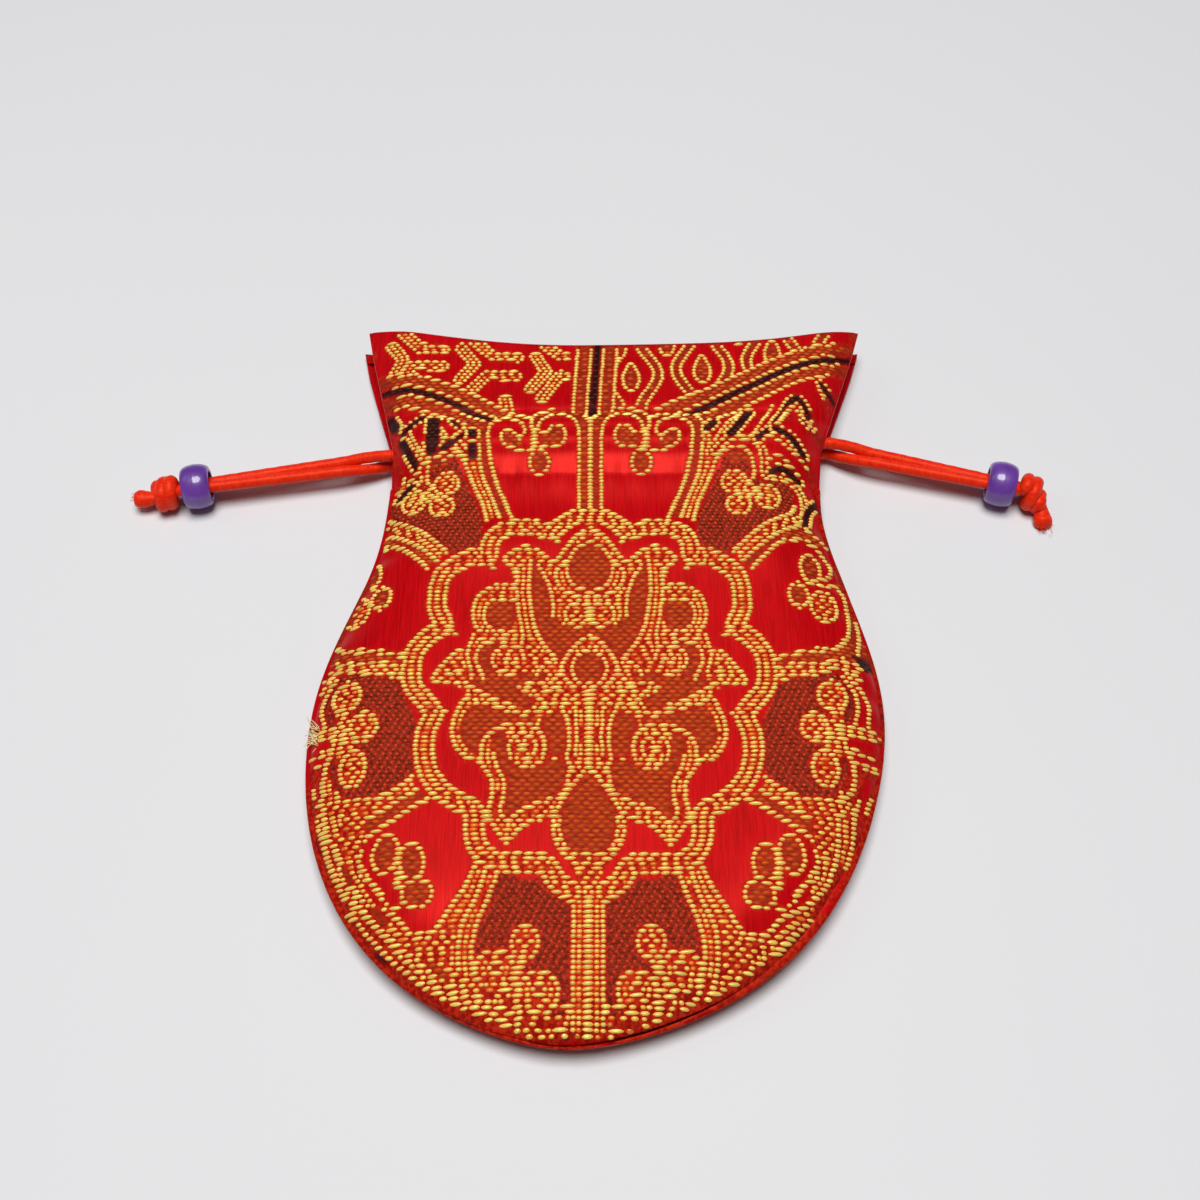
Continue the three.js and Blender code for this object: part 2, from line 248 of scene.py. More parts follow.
def even(points, step):
    """The same line with its points evenly spaced, about step apart."""
    gaps = np.linalg.norm(np.diff(points, axis=0), axis=1)
    along = np.concatenate([[0], np.cumsum(gaps)])
    count = max(2, int(round(along[-1] / step)) + 1)
    at = np.linspace(0, along[-1], count)
    return np.stack([np.interp(at, along, points[:, k]) for k in range(points.shape[1])], 1)


# ---- camera
scene = bpy.context.scene
scene.view_settings.view_transform = "Standard"
camera = bpy.data.objects.new("camera", bpy.data.cameras.new("camera"))
scene.collection.objects.link(camera)
camera.location = (-0.00095, -0.14434, 0.24216)
camera.rotation_euler = (math.radians(33), 0, 0)
camera.data.sensor_width = 36
camera.data.lens = 44.82
camera.data.clip_start = 0.005
scene.camera = camera


# ---- cords, beads and knots
def cord_material():
    made, tree, shader = material("cord_satin")
    ribs = stretched(tree, (5200, 900, 1), coordinates="UV")
    tone = stretched(tree, (700, 260, 1), coordinates="UV")
    colour = blend_colours(tree, ramp(tree, ribs, 0.3, 0.7), (0.62, 0.008, 0.002), (0.92, 0.030, 0.004))
    worn = math_node(tree, "MULTIPLY", ramp(tree, tone, 0.35, 0.75), 0.35)
    plug(tree, shader, {
        "Base Color": blend_colours(tree, worn, colour, (1.0, 0.06, 0.012)),
        "Roughness": 0.42,
        "Specular IOR Level": 0.35,
        "Specular Tint": (1.0, 0.4, 0.25, 1.0),
    })
    bump(tree, shader, ribs, 0.00008, 0.6)
    return made


def tube(name, path, radius, finish, sides=20, step=0.3, squash=1.0):
    """A round tube along a path in millimetres, with its ends closed and a UV layer of metres along and around."""
    line = even(np.asarray(path, float), step)
    tangent = np.gradient(line, axis=0)
    tangent /= np.linalg.norm(tangent, axis=1)[:, None]
    up = np.array([0.0, 0.0, 1.0]) if abs(tangent[0][2]) < 0.9 else np.array([0.0, 1.0, 0.0])
    normal = np.zeros_like(line)
    n = up - tangent[0] * (up @ tangent[0])
    for i, t in enumerate(tangent):
        n = n - t * (n @ t)
        n /= np.linalg.norm(n)
        normal[i] = n
    side = np.cross(tangent, normal)
    angle = np.linspace(0, 2 * np.pi, sides, endpoint=False)
    along = np.arange(len(line)) * step
    twist = np.sin(along[:, None] * 2.1 + 2 * np.sin(angle + 0.4)[None])
    radii = np.broadcast_to(np.asarray(radius, float), (len(line),))
    ring = radii[:, None] * (1 + 0.03 * twist * np.sin(along * 0.45)[:, None])
    points = (
        line[:, None]
        + normal[:, None] * (np.sin(angle)[None] * ring * squash)[..., None]
        + side[:, None] * (np.cos(angle)[None] * ring)[..., None]
    )
    rounding = [(0.45, 0.85), (0.62, 0.45), (0.68, 0.02)]
    first = [line[0] + (points[0] - line[0]) * k - tangent[0] * radii[0] * d * 0.8 for d, k in rounding][::-1]
    last = [line[-1] + (points[-1] - line[-1]) * k + tangent[-1] * radii[-1] * d * 0.8 for d, k in rounding]
    rows = np.concatenate([np.array(first), points, np.array(last)])
    quads = grid_quads(len(rows), sides, wrap=True)[:, ::-1]
    made = mesh_object(name, rows.reshape(-1, 3), quads, finish)
    layer = made.data.uv_layers.new(name="UVMap")
    u = (np.arange(len(rows)) * step * MM)[:, None] * np.ones(sides)
    v = np.ones(len(rows))[:, None] * (np.abs(angle - np.pi) * radii[0] * MM)
    uv = np.stack([u, v], -1).reshape(-1, 2)[quads.ravel()]
    layer.data.foreach_set("uv", uv.astype(np.float32).ravel())
    return made


def beside_panel(height, across, s, facing):
    """Height of a cord's middle in the channel; facing is 1 under the front panel and -1 over the back one."""
    inside = min(abs(across), float(half_width(s)) - 0.6)
    slope = height(inside, s) - height(inside - 1, s)
    return float(height(inside, s) - facing * (PANEL + (GAP + CORD / 2) * np.hypot(1, slope)))


def front_run(across, s):
    return beside_panel(front_height, across, s, 1)


def back_run(across, s):
    return beside_panel(back_height, across, s, -1)


def cord_loop(name, sign, s, finish):
    """The cord in the channel: across the front, round inside the far slit and back behind."""
    w, y = float(half_width(s)), s - LENGTH / 2
    inset = 5 - w
    top, bottom = front_run(inset, s) - GAP, back_run(inset, s) + GAP
    middle, radius = (top + bottom) / 2, (top - bottom) / 2
    front = [w + 0.5, w - 0.6, w - 2.6, w - 5, w - 9, w - 15, 10, -10, 15 - w, 9 - w]
    back = [10 - w, -12, 12, w - 10, w - 5, w - 2.6, w - 0.6, w + 0.5]
    run = [(a, front_run(a, s)) for a in front]
    for a in np.radians([90, 60, 30, 0, -30, -60, -90]):
        run.append((inset - radius * math.cos(a), middle + radius * math.sin(a)))
    run += [(a, back_run(a, s)) for a in back]
    path = [(sign * across + float(centre_line(s)), y, z) for across, z in run]
    made = tube(f"{name}_satin", curve(path, 8), CORD / 2 - 0.05, finish, sides=12, step=0.8)
    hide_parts(name)
    return made


def tail_path(side, lane):
    """The part's waypoints: out of the channel, to its twin, through the bead. Here the pair also turns on the way."""
    sign, s = side["sign"], side["station"]
    bead, start = np.array([*side["bead"], TAIL_HEIGHT]), np.array([*side["start"], TAIL_HEIGHT])
    along = (bead - start) / np.linalg.norm(bead - start)
    sideways = np.cross([0, 0, 1.0], along) * (sign * lane * TAIL_SPREAD)
    across = sign * (float(half_width(s)) + 0.5 + GAP)
    height = front_run(across, s) if lane > 0 else back_run(across, s)
    exit_point = np.array([across + float(centre_line(s)), s - LENGTH / 2, height])
    first = start + sideways
    last = bead + along * (BEAD_LENGTH / 2 + GAP) + sideways * math.cos(PAIR_TURN)
    last[2] -= lane * TAIL_SPREAD * math.sin(PAIR_TURN)
    leaving = exit_point + np.array([sign * 0.8, 0, 0])
    run = [mix(first, last, share) for share in (0.14, 0.35, 0.65, 1)]
    parting = mix(leaving, run[0], 0.5) + sideways * 0.2
    return exit_point, np.array([exit_point, leaving, parting, *run]), along


KNOT_WRAP_RADIUS = 2.2  # from the knot's axis to the middle of the wrapping strand
KNOT_STRAND_RADIUS = 1.5  # the wrapping strand, fuller than the cord so that its turns touch
CUT_ENDS = {
    "left": ((5.6, 0.3, 0.3), (7.0, 0.1, 0.5), (8.6, -0.2, 0.8)),
    "right": ((5.0, -1.2, -0.3), (5.9, -2.9, -1.1), (6.6, -4.7, -1.9)),
}


def knot_points(kind, lane, sign):
    """A strand's way through the knot: along the cord, sideways and up. One wraps twice round the other."""
    spread = lane * TAIL_SPREAD
    side, up = sign * spread * math.cos(PAIR_TURN), -spread * math.sin(PAIR_TURN)
    start = [(-0.9, side, up), (0.1, side, up), (1.1, side * 0.6, up * 0.6)]
    if lane < 0:
        return start + [(2.2, -0.1, -0.2), (4.0, 0.1, 0), *CUT_ENDS[kind]]
    turns = [
        (1.7 + 0.27 * i, KNOT_WRAP_RADIUS * math.cos(angle), KNOT_WRAP_RADIUS * math.sin(angle))
        for i, angle in enumerate(np.radians(np.arange(110, -551, -60)))
    ]
    return start + turns + [(4.8, 0.3, 0.2)]


def knot(name, kind, side, along, finish):
    """One strand wound round the other, and the frayed cut end of the one in the middle."""
    base = np.array([*side["bead"], TAIL_HEIGHT]) + along * (BEAD_LENGTH / 2 + GAP)
    sideways = np.cross([0, 0, 1.0], along)
    pieces, fringe = [], []
    for lane in (1, -1):
        path = [
            base + along * a + sideways * u + np.array([0, 0, v - 0.3 * max(0, a)])
            for a, u, v in knot_points(kind, lane, side["sign"])
        ]
        line = curve(path, 8)
        line[:, 2] = np.maximum(line[:, 2], CORD / 2 + 0.1)
        share = np.linspace(0, 1, len(even(line, 0.3)))
        if lane > 0:
            radius = mix(CORD / 2, KNOT_STRAND_RADIUS, smooth(0.02, 0.14, share)) * (1 - 0.04 * np.sin(share * 26))
        else:
            radius = (CORD / 2) * (1 + 0.62 * smooth(0.6, 0.97, share))
        pieces.append(tube(f"{name}_strand_{(3 - lane) // 2}", line, radius, finish, sides=16, squash=0.92))
    tip, way = line[-1], line[-1] - line[-3]
    way = way / np.linalg.norm(way)
    for _ in range(60):
        start = tip + rng.normal(0, 0.75, 3)
        reach = rng.uniform(0.3, 0.9)
        bend = rng.normal(0, 0.22, 3)
        fibre = [start + way * reach * t + bend * t * t - np.array([0, 0, 0.3 * t * t]) for t in (0, 0.35, 0.7, 1)]
        fringe.append(fibre)
    pieces.append(threads(f"{name}_cut_ends", fringe, 0.08, finish))
    joined = join(pieces, f"{name}_tied")
    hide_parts(name)
    return joined


def threads(name, paths, radius, finish):
    """Thin fibres, each a three-sided tube; the paths have the same number of points."""
    points, quads = [], []
    for i, path in enumerate(np.array(paths)):
        path[:, 2] = np.maximum(path[:, 2], radius)
        way = np.gradient(path, axis=0)
        way /= np.linalg.norm(way, axis=1)[:, None] + 1e-9
        a = np.cross(way, [0.3, 0.2, 1.0])
        a /= np.linalg.norm(a, axis=1)[:, None] + 1e-9
        b = np.cross(way, a)
        ring = [a * math.cos(t) + b * math.sin(t) for t in (0, 2.094, 4.189)]
        points.append((path[:, None] + radius * np.stack(ring, 1)).reshape(-1, 3))
        quads.append(grid_quads(len(path), 3, wrap=True) + i * 3 * len(path))
    return mesh_object(name, np.concatenate(points), np.concatenate(quads), finish)


def join(pieces, name):
    bpy.ops.object.select_all(action="DESELECT")
    for piece in pieces:
        piece.select_set(True)
    bpy.context.view_layer.objects.active = pieces[0]
    bpy.ops.object.join()
    pieces[0].name = name
    pieces[0].data.name = name
    return pieces[0]


def bead_material():
    made, tree, shader = material("bead_plastic")
    cloud = stretched(tree, (260, 260, 260))
    grain = stretched(tree, (2600, 2600, 2600))
    plug(tree, shader, {
        "Base Color": blend_colours(tree, ramp(tree, cloud, 0.3, 0.7), (0.115, 0.032, 0.27), (0.16, 0.048, 0.36)),
        "Roughness": ramp(tree, grain, -1.2, 3.4),
        "Coat Weight": 0.6,
        "Coat Roughness": 0.06,
        "Subsurface Weight": 0.12,
        "Subsurface Radius": (0.6, 0.3, 1.0),
        "Subsurface Scale": 0.001,
    })
    bump(tree, shader, grain, 0.00001, 0.4)
    return made


def bead(name, side, along, finish):
    """A barrel bead: a round-shouldered lathe with a fine parting line round its middle and a smooth hole."""
    half, hole = BEAD_LENGTH / 2, BEAD_HOLE
    outline = []
    for angle in np.radians(np.linspace(-90, 90, 33)):
        bulge = math.cos(angle) ** 0.86
        seam = 0.05 * math.exp(-((angle / 0.045) ** 2))
        outline.append((half * math.sin(angle), mix(hole + 0.4, BEAD_RADIUS, bulge) + seam))
    lip = [(half - 0.02, hole + 0.25), (half - 0.25, hole + 0.08), (half - 0.6, hole), (0, hole - 0.02)]
    inner = lip + [(-a, r) for a, r in lip[::-1][1:]]
    profile = np.array(outline + inner + [outline[0]])
    centre = np.array([*side["bead"], TAIL_HEIGHT])
    sideways = np.cross([0, 0, 1.0], along)
    turn = np.linspace(0, 2 * np.pi, 72, endpoint=False)
    spokes = np.cos(turn)[None, :, None] * sideways + np.sin(turn)[None, :, None] * np.array([0, 0, 1.0])
    rows = centre + profile[:, :1, None] * along + profile[:, 1:, None] * spokes
    quads = grid_quads(len(profile), len(turn), wrap=True)
    made = mesh_object(f"{name}_barrel", rows.reshape(-1, 3), quads, finish, name)
    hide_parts(name)
    return made


cord_finish, bead_finish = cord_material(), bead_material()
for side_name, side in SIDES.items():
    for node_name, lane in ((f"{side_name}_cord_tail_front", 1), (f"{side_name}_cord_tail_back", -1)):
        exit_point, waypoints, along = tail_path(side, lane)
        path = even(curve(waypoints, 10), 0.5)
        tail = tube(f"{node_name}_satin", path, CORD / 2, cord_finish)
        side[lane] = (tail, exit_point, path)
        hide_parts(node_name)
    side["bead_piece"] = bead(f"{side_name}_bead", side, along, bead_finish)
    side["knot_piece"] = knot(f"{side_name}_knot", side_name, side, along, cord_finish)
    cord_loop(f"{side_name}_cord_loop", side["sign"], side["station"], cord_finish)
    for lane, held in ((1, [side["bead_piece"], side["knot_piece"]]), (-1, [])):
        tail, exit_point, path = side[lane]

# ---- the brocade's pattern
# Pattern coordinates: p across and y along, in millimetres, with the medallion's axis at p = 0.
PATTERN_AXIS = -2.9
RED, REP, BASKET, BLACK, MOTTLED = range(5)
GOLD, AMBER = 1, 2
FIGURE, RIBS, DARK = (MOTTLED, AMBER), (REP, 0), (BLACK, 0)  # ground and line
BACK_SHIFT = 5.8  # how much further along the cloth the back is cut
PICK = 0.84  # distance between weft rows
CELL_P, CELL_Y = 0.15, PICK / 4


class Cloth:
    """Which weave shows where. The ground is the weave's kind; the line is the floating weft, if any."""

    def __init__(self, low, high):
        self.p = np.arange(low, high, CELL_P)
        self.y = np.arange(-76, 79, CELL_Y)
        self.ground = np.zeros((len(self.y), len(self.p)), np.uint8)
        self.line = np.zeros_like(self.ground)
        self.clip = np.ones_like(self.ground, bool)

    def window(self, points, reach):
        low, high = points.min(0) - reach, points.max(0) + reach
        rows = slice(*np.clip(np.searchsorted(self.y, (low[1], high[1])), 0, len(self.y)))
        columns = slice(*np.clip(np.searchsorted(self.p, (low[0], high[0])), 0, len(self.p)))
        return rows, columns

    def distance(self, points, reach):
        area = self.window(points, reach)
        far = np.full(self.ground[area].shape, 1e9)
        for a, b in zip(points[:-1], points[1:]):
            rows, columns = self.window(np.array([a, b]), reach)
            if rows.start >= rows.stop or columns.start >= columns.stop:
                continue
            gy, gp = self.y[rows][:, None], self.p[columns][None]
            d = b - a
            t = np.clip(((gp - a[0]) * d[0] + (gy - a[1]) * d[1]) / max(1e-9, d @ d), 0, 1)
            near = np.hypot(gp - a[0] - t * d[0], gy - a[1] - t * d[1])
            part = far[rows.start - area[0].start:rows.stop - area[0].start,
                       columns.start - area[1].start:columns.stop - area[1].start]
            np.minimum(part, near, out=part)
        return area, far

    def put(self, area, where, ground, line):
        where = where & self.clip[area]
        if ground is not None:
            self.ground[area][where] = ground
        self.line[area][where] = line

    def stroke(self, points, width=1.15, line=GOLD, ground=MOTTLED, closed=False):
        area, far = self.distance(curve(points, closed=closed), width / 2)
        self.put(area, far < width / 2, ground, line)

    def band(self, points, half, edge=1.1, core=FIGURE, closed=False, steps=6):
        """A stripe with a gold line along each edge."""
        area, far = self.distance(curve(points, steps, closed), half)
        self.put(area, far < half - edge, *core)
        self.put(area, (far < half) & (far >= half - edge), MOTTLED, GOLD)

    def inside(self, outline):
        outline = np.asarray(outline, float)
        area = self.window(outline, 0.2)
        gy, gp = self.y[area[0]][:, None], self.p[area[1]][None]
        found = np.zeros(self.ground[area].shape, bool)
        for (p1, y1), (p2, y2) in zip(outline, np.roll(outline, -1, 0)):
            crosses = ((y1 > gy) != (y2 > gy)) & (gp < (p2 - p1) * (gy - y1) / (y2 - y1 + 1e-12) + p1)
            found ^= crosses
        return area, found

    def fill(self, outline, ground, line=0, rounded=True):
        area, found = self.inside(curve(outline, 4, closed=True) if rounded else outline)
        self.put(area, found, ground, line)

    def lobe(self, p, y, across, along, core=RIBS, width=1.0, tilt=0.0):
        """An oval petal: its core with a gold outline."""
        turn = np.linspace(0, 2 * np.pi, 12, endpoint=False)
        a, b, t = across * np.cos(turn), along * np.sin(turn), math.radians(tilt)
        outline = np.stack([p + a * math.cos(t) - b * math.sin(t), y + a * math.sin(t) + b * math.cos(t)], 1)
        self.fill(outline, *core)
        self.stroke(outline, width, closed=True)


def paint_half(c):
    """The right half of the medallion and its ring of compartments; the left half mirrors it."""
    # Compartments of basket weave between red ones
    c.fill([(20.5, 24), (22, 28.5), (23.7, 33), (25.2, 37), (27, 40.3), (30, 41), (31.7, 38.5), (32.3, 35),
        (35, 34.3), (38.5, 34), (39.6, 31), (39, 27.5), (36, 24.8), (32.5, 22), (29.5, 19), (27, 16.5), (24, 16.6),
        (21, 18)], BASKET)
    c.fill([(34.5, -10.8), (38, -10), (42, -9.3), (45.7, -9.2), (47.3, -12), (47.5, -16), (46, -19), (44.7, -22),
        (44.9, -26), (44.8, -30), (42.5, -33), (38, -34), (34.5, -33), (31, -30.5), (30, -26), (30, -22), (31, -18),
        (33, -14)], BASKET)
    c.fill([(2.6, -60), (18.5, -60), (17, -67), (12, -71.5), (2.6, -74)], REP, rounded=False)
    c.fill([(2.6, -52.5), (5, -51), (7.5, -48.6), (11, -48.6), (14.8, -47.6), (16, -52), (18, -56.5), (18.8, -60.5),
        (18.3, -64.5), (16.5, -68), (12, -70.5), (6, -72), (2.6, -73)], BASKET)
    c.fill([(27, 39.6), (30, 41), (31.5, 39), (31.7, 37), (29.5, 38.3), (27.5, 38)], REP)

    # Outside the compartments, towards the seam
    c.fill([(46.6, 12), (48.3, 8), (48.6, 3), (47.6, -1.5), (45.3, -4), (49, -5), (53, -4), (52, 12)], REP)
    c.stroke([(49.3, 6), (49.8, 1), (49.2, -3.5)])
    c.fill([(47, -4.6), (51, -4.4), (52, -7.2), (48, -6.6)], BLACK)
    c.fill([(42, -33), (46, -28), (52, -26), (58, -34), (52, -52), (40, -64), (24, -74), (4, -78), (4, -72),
        (16, -69), (26, -61), (36, -51), (41, -44)], MOTTLED, rounded=False)
    for gap, line in ((1.3, GOLD), (3.0, AMBER), (4.7, GOLD)):
        turn = np.radians(np.arange(-86, -14, 3.0))
        wide, low = BELLY_HALF_WIDTH - 1.1 - gap, BELLY_STATION - gap
        c.stroke(np.stack([wide * np.cos(turn), BELLY_STATION - LENGTH / 2 + low * np.sin(turn)], 1), 1.0, line)
    c.fill([(47.6, -30), (50.5, -29), (51.5, -33), (49.5, -38), (47.5, -42), (46.8, -38)], RED)
    c.fill([(33.5, -52.5), (37.5, -50.5), (36, -54.5), (32, -58.6), (28.5, -60.5), (30, -57)], RED)
    for points in ([(46.8, -40), (45.8, -42.5)], [(34.4, -60), (32.4, -61.4)]):
        c.stroke(points, 1.2, 0, BLACK)
    c.fill([(43.5, -35.5), (45.5, -35.5), (44.6, -42), (42, -47.5), (38.5, -52.5), (33, -57.5), (25, -64),
        (17, -69.5), (8, -75), (6, -72.5), (16.5, -68.7), (20, -64), (22.5, -59.5), (27, -59.5), (32, -56),
        (37, -51), (40.5, -46), (42, -40)], MOTTLED, AMBER)
    c.stroke([(45.4, -35), (44.6, -42), (42, -47.6), (38.4, -52.6), (33, -57.6), (26, -63.2), (18, -68.6),
        (11, -72.4)], 1.1)
    c.stroke([(50.6, -28.5), (49.4, -31.5), (48.2, -34), (47.8, -38), (46.6, -42.5), (43.6, -48.6), (39.6, -54)],
        1.1)
    c.stroke([(49.6, -36), (48.6, -41), (46.2, -46)], 0.9)

    # Ring
    ring = [(0, 25.7), (3, 24.8), (5.5, 22.8), (7.3, 21), (9.5, 21.8), (12, 22.4), (15, 22), (17.5, 20.8),
        (18.8, 18.5), (19.3, 15.5), (22, 15.6), (25, 14), (27.5, 11.5), (28.2, 8), (28, 4), (26.7, 0.5), (29, -1.5),
        (31.3, -4.5), (32, -8), (31.5, -12), (29.2, -15), (27.5, -17.5), (28.5, -21), (28.7, -25), (27.7, -29),
        (25.5, -32.3), (22.5, -34.6), (19.6, -36.4), (19.2, -40.5), (18.2, -43.4), (15.5, -45.4), (10.5, -45.8),
        (7, -46.2), (5.2, -49), (2.5, -50.8), (0, -51.2)]
    c.band(ring, 2.05, 1.2)
    for points in ([(7.3, 20.5), (6, 18.9)], [(19, 14.6), (18, 12.9)], [(26.4, 0), (24.4, -1.2)],
        [(27, -17.2), (25.3, -17)]):
        c.stroke(points, 1.3)

    # Spokes
    def spoke(left, middle, right, cores):
        for a, b, core in ((left, middle, cores[0]), (middle, right, cores[1])):
            c.fill(np.vstack([curve(a), curve(b)[::-1]]), *core, rounded=False)
        for points in (left, middle, right):
            c.stroke(points, 1.2)

    c.fill([(-1, 26.5), (2.1, 26.5), (2.1, 50), (-1, 50)], REP, rounded=False)
    c.stroke([(0, 26.5), (0, 50)], 1.3)
    c.stroke([(2.15, 26.5), (2.15, 44)], 1.0)
    spoke([(15, 24.5), (16.5, 29), (18, 33), (19.3, 38), (20, 42), (20.2, 44.5)],
          [(17.5, 25), (19, 30), (20.5, 34), (21.5, 38), (22, 42), (22.2, 46)],
          [(19.7, 24), (20.8, 28.5), (22.3, 32.5), (23.7, 36.5), (25, 39.4), (26.8, 41.2)], (RIBS, FIGURE))
    spoke([(27, 16.7), (29.6, 19.3), (32.5, 22.2), (36, 24.9), (38.6, 26.7), (39.6, 29)],
          [(28.5, 14.5), (32, 18), (35.5, 20.8), (38.5, 23), (41, 24.6), (42, 28)],
          [(30.5, 13.3), (33, 16), (36, 18.9), (40, 20.4), (42.7, 19.8), (44.6, 17.8)], (FIGURE, RIBS))
    spoke([(33.5, -6), (37, -5.2), (40, -4.5), (43, -4), (45, -3.5), (46.6, -1.5)],
          [(34, -8), (38, -7.4), (42, -7), (46, -6), (49.5, -7)],
          [(34, -10.2), (37, -9.7), (41, -9.1), (45, -8), (49, -9.5)], (RIBS, FIGURE))
    spoke([(30.3, -30), (33, -32.3), (36, -33.8), (40, -34), (43.5, -33.7)],
          [(29.5, -32.5), (33, -34.8), (36, -36.8), (39.5, -37.6), (43.5, -36.5)],
          [(27, -34), (30, -35.7), (33, -38), (36, -40), (38, -41.5), (38.6, -45)], (FIGURE, RIBS))
    c.fill([(38, -37.5), (42.5, -37), (42, -43), (40, -48), (37.5, -50.5), (37, -48.5), (38.6, -45), (38, -41.5)],
        MOTTLED, AMBER)
    c.stroke([(42.5, -37), (42, -43), (40, -48), (37, -51.5), (33, -54)], 1.2)
    c.stroke([(38.6, -45), (38, -47.8), (35.7, -49), (34, -51)], 1.0)
    spoke([(15.3, -48.5), (16.5, -52), (18, -56), (18.8, -60), (18.6, -64), (17.5, -67.5), (15, -69.5)],
          [(17, -47), (18.5, -52), (20.5, -56.5), (20.9, -60.5), (20.6, -64.5), (19, -68)],
          [(18.7, -46), (20.3, -50), (22.2, -53), (24, -56), (26, -58), (29, -57.5), (31, -55.3)], (FIGURE, FIGURE))
    c.fill([(-1, -51), (2.4, -51), (2.4, -74), (-1, -74)], MOTTLED, AMBER, rounded=False)
    c.stroke([(0, -51), (0, -74)], 1.9)
    c.stroke([(2.4, -52.5), (2.4, -73)], 1.1)

    # Scrolls in the compartments
    c.fill([(4.9, 44.5), (5.6, 46.6), (7.4, 46.9), (8.6, 45.2), (9.8, 44), (9, 41.9), (7, 41.5), (5.3, 42.3)], REP)
    c.fill([(14, 43.8), (15.2, 45.3), (16.6, 46), (17.6, 44.8), (17.2, 42.9), (15.8, 41.5), (13.5, 41.5)], REP)
    c.fill([(1.2, 46), (1.6, 49.5), (4, 51.3), (8, 51.2), (11.2, 49.6), (11.6, 46), (10.3, 46), (9.6, 48.4),
        (7, 50), (4.4, 49.5), (2.7, 47)], REP)
    c.fill([(12.3, 49.3), (15.5, 50), (20.5, 49.6), (22.2, 47), (22, 43), (20.2, 43), (19.8, 47.4), (17.4, 48.8),
        (14.3, 48)], REP)
    for points, width in (
        ([(2.15, 43), (2.5, 46.5), (3.9, 49), (6, 50), (8.3, 49.6), (9.8, 48), (10.3, 46.2), (9.5, 45), (8.4, 45)],
            1.0),
        ([(0.6, 48), (2.2, 50.8), (5, 51.7), (8, 51.4), (10.6, 50.4), (11.7, 48), (11.3, 45), (11, 42.5)], 1.1),
        ([(8.4, 45), (7.4, 46.8), (5.7, 46.5), (4.9, 44.5), (5.3, 42.4), (7, 41.5), (9, 41.7), (10.8, 42.2)], 1.0),
        ([(20.1, 42), (20.2, 45), (19.8, 47.3), (18, 48.7), (15.5, 48.7), (13.5, 47.3), (13, 45.2), (14, 43.6)],
            1.0),
        ([(22.1, 44), (22.3, 47.5), (21, 49.6), (18, 50.2), (14.5, 49.9), (12, 49.2)], 1.1),
        ([(14, 43.6), (15.2, 45.2), (16.6, 46), (17.6, 44.8), (17.2, 42.9), (15.8, 41.5), (13.5, 40.9),
            (11.6, 40.8)], 1.0),
        ([(11, 45), (11, 41.5)], 1.9),
    ):
        c.stroke(points, width)
    c.lobe(10, 38.3, 1.9, 2.4)
    c.lobe(28, 33.8, 2.4, 2.7, FIGURE)
    c.lobe(28.6, 28, 2.3, 2.5, FIGURE)
    c.lobe(34.3, 30.3, 2.3, 2.9, FIGURE)
    c.stroke([(29, 31), (32.5, 30.6)], 2.6)
    c.stroke([(31, 34), (32, 32), (34, 33.5)], 1.1)
    c.stroke([(26.8, 41.2), (29.5, 41.6), (31.3, 40), (32, 37), (31.7, 34.8)], 1.1)
    c.band([(24.2, 40.5), (26.5, 43), (29.5, 43.9), (32.3, 43.2), (33.8, 40.8), (34, 37.5), (34.5, 35.4),
        (37.5, 35.6), (40.4, 34), (41.6, 30.8), (41.2, 27), (39.5, 25)], 0.95, 0.75)
    c.lobe(41.5, 14, 1.9, 3.1)
    c.lobe(38.8, 7.6, 1.8, 2.5)
    c.lobe(43.5, 5.6, 2.5, 3.3, FIGURE)
    for points in (
        [(44.6, 17.8), (45.7, 15.4), (45.2, 13), (43.7, 12.2)],
        [(40.6, 10.4), (43, 10.3), (45, 10.9), (46.6, 11.6)],
        [(46.6, 11.6), (47.8, 8.5), (48.1, 4), (47.6, 0), (46.3, -2.4), (44, -3.9)],
        [(47, -9.8), (49, -12), (50, -15), (49.6, -18.5)],
        [(45.6, -9.6), (47.5, -12.5), (47.8, -16), (47, -18.8)],
    ):
        c.stroke(points, 1.1)
    c.stroke([(44, -15), (42.8, -20), (42.6, -25), (41.4, -29)], 3.6, AMBER)
    for p, y, a, b in ((43.3, -13.9, 2.5, 2.9), (39.6, -20.2, 2.3, 2.6), (40.9, -28.2, 2.2, 3.3)):
        c.lobe(p, y, a, b, FIGURE, 1.15)
    c.band([(44, -20.6), (51.5, -20.6)], 1.5, 0.9)
    c.stroke([(41.5, -22.4), (44.5, -21.6)], 2.6)
    c.stroke([(45.3, -24.4), (51.5, -24.6)], 1.1)
    c.stroke([(46.2, -26.6), (50.8, -27)], 1.1)
    c.stroke([(44.8, -23.5), (46, -27.5), (45.6, -31.3), (43.5, -34)], 1.3)
    for p, y, a, b, tilt in ((34, -44, 2.1, 3.3, 8), (29.4, -45.6, 2.0, 3.3, -6), (28.2, -51, 2.5, 2.4, 0)):
        c.lobe(p, y, a, b, RIBS, 1.0, tilt)
    c.stroke([(31.6, -43.5), (31.6, -49.5)], 1.7)
    c.stroke([(30, -52.6), (32.5, -53.8), (31, -55.6)], 1.0)
    c.lobe(10.2, -59.4, 2.2, 2.6, FIGURE)
    c.lobe(15, -63.6, 3.0, 3.0, FIGURE, 1.1)
    c.lobe(7.8, -67.2, 3.0, 3.1, FIGURE, 1.1)
    c.stroke([(10.4, -61.4), (11.2, -64.5), (11.6, -68), (11, -71)], 1.9)
    c.stroke([(12.4, -65.8), (13.8, -68.2), (12.8, -70.4)], 1.0)
    c.lobe(14.8, -63.4, 1.0, 1.0, RIBS, 0.9)
    c.lobe(7.8, -67, 1.0, 1.0, RIBS, 0.9)

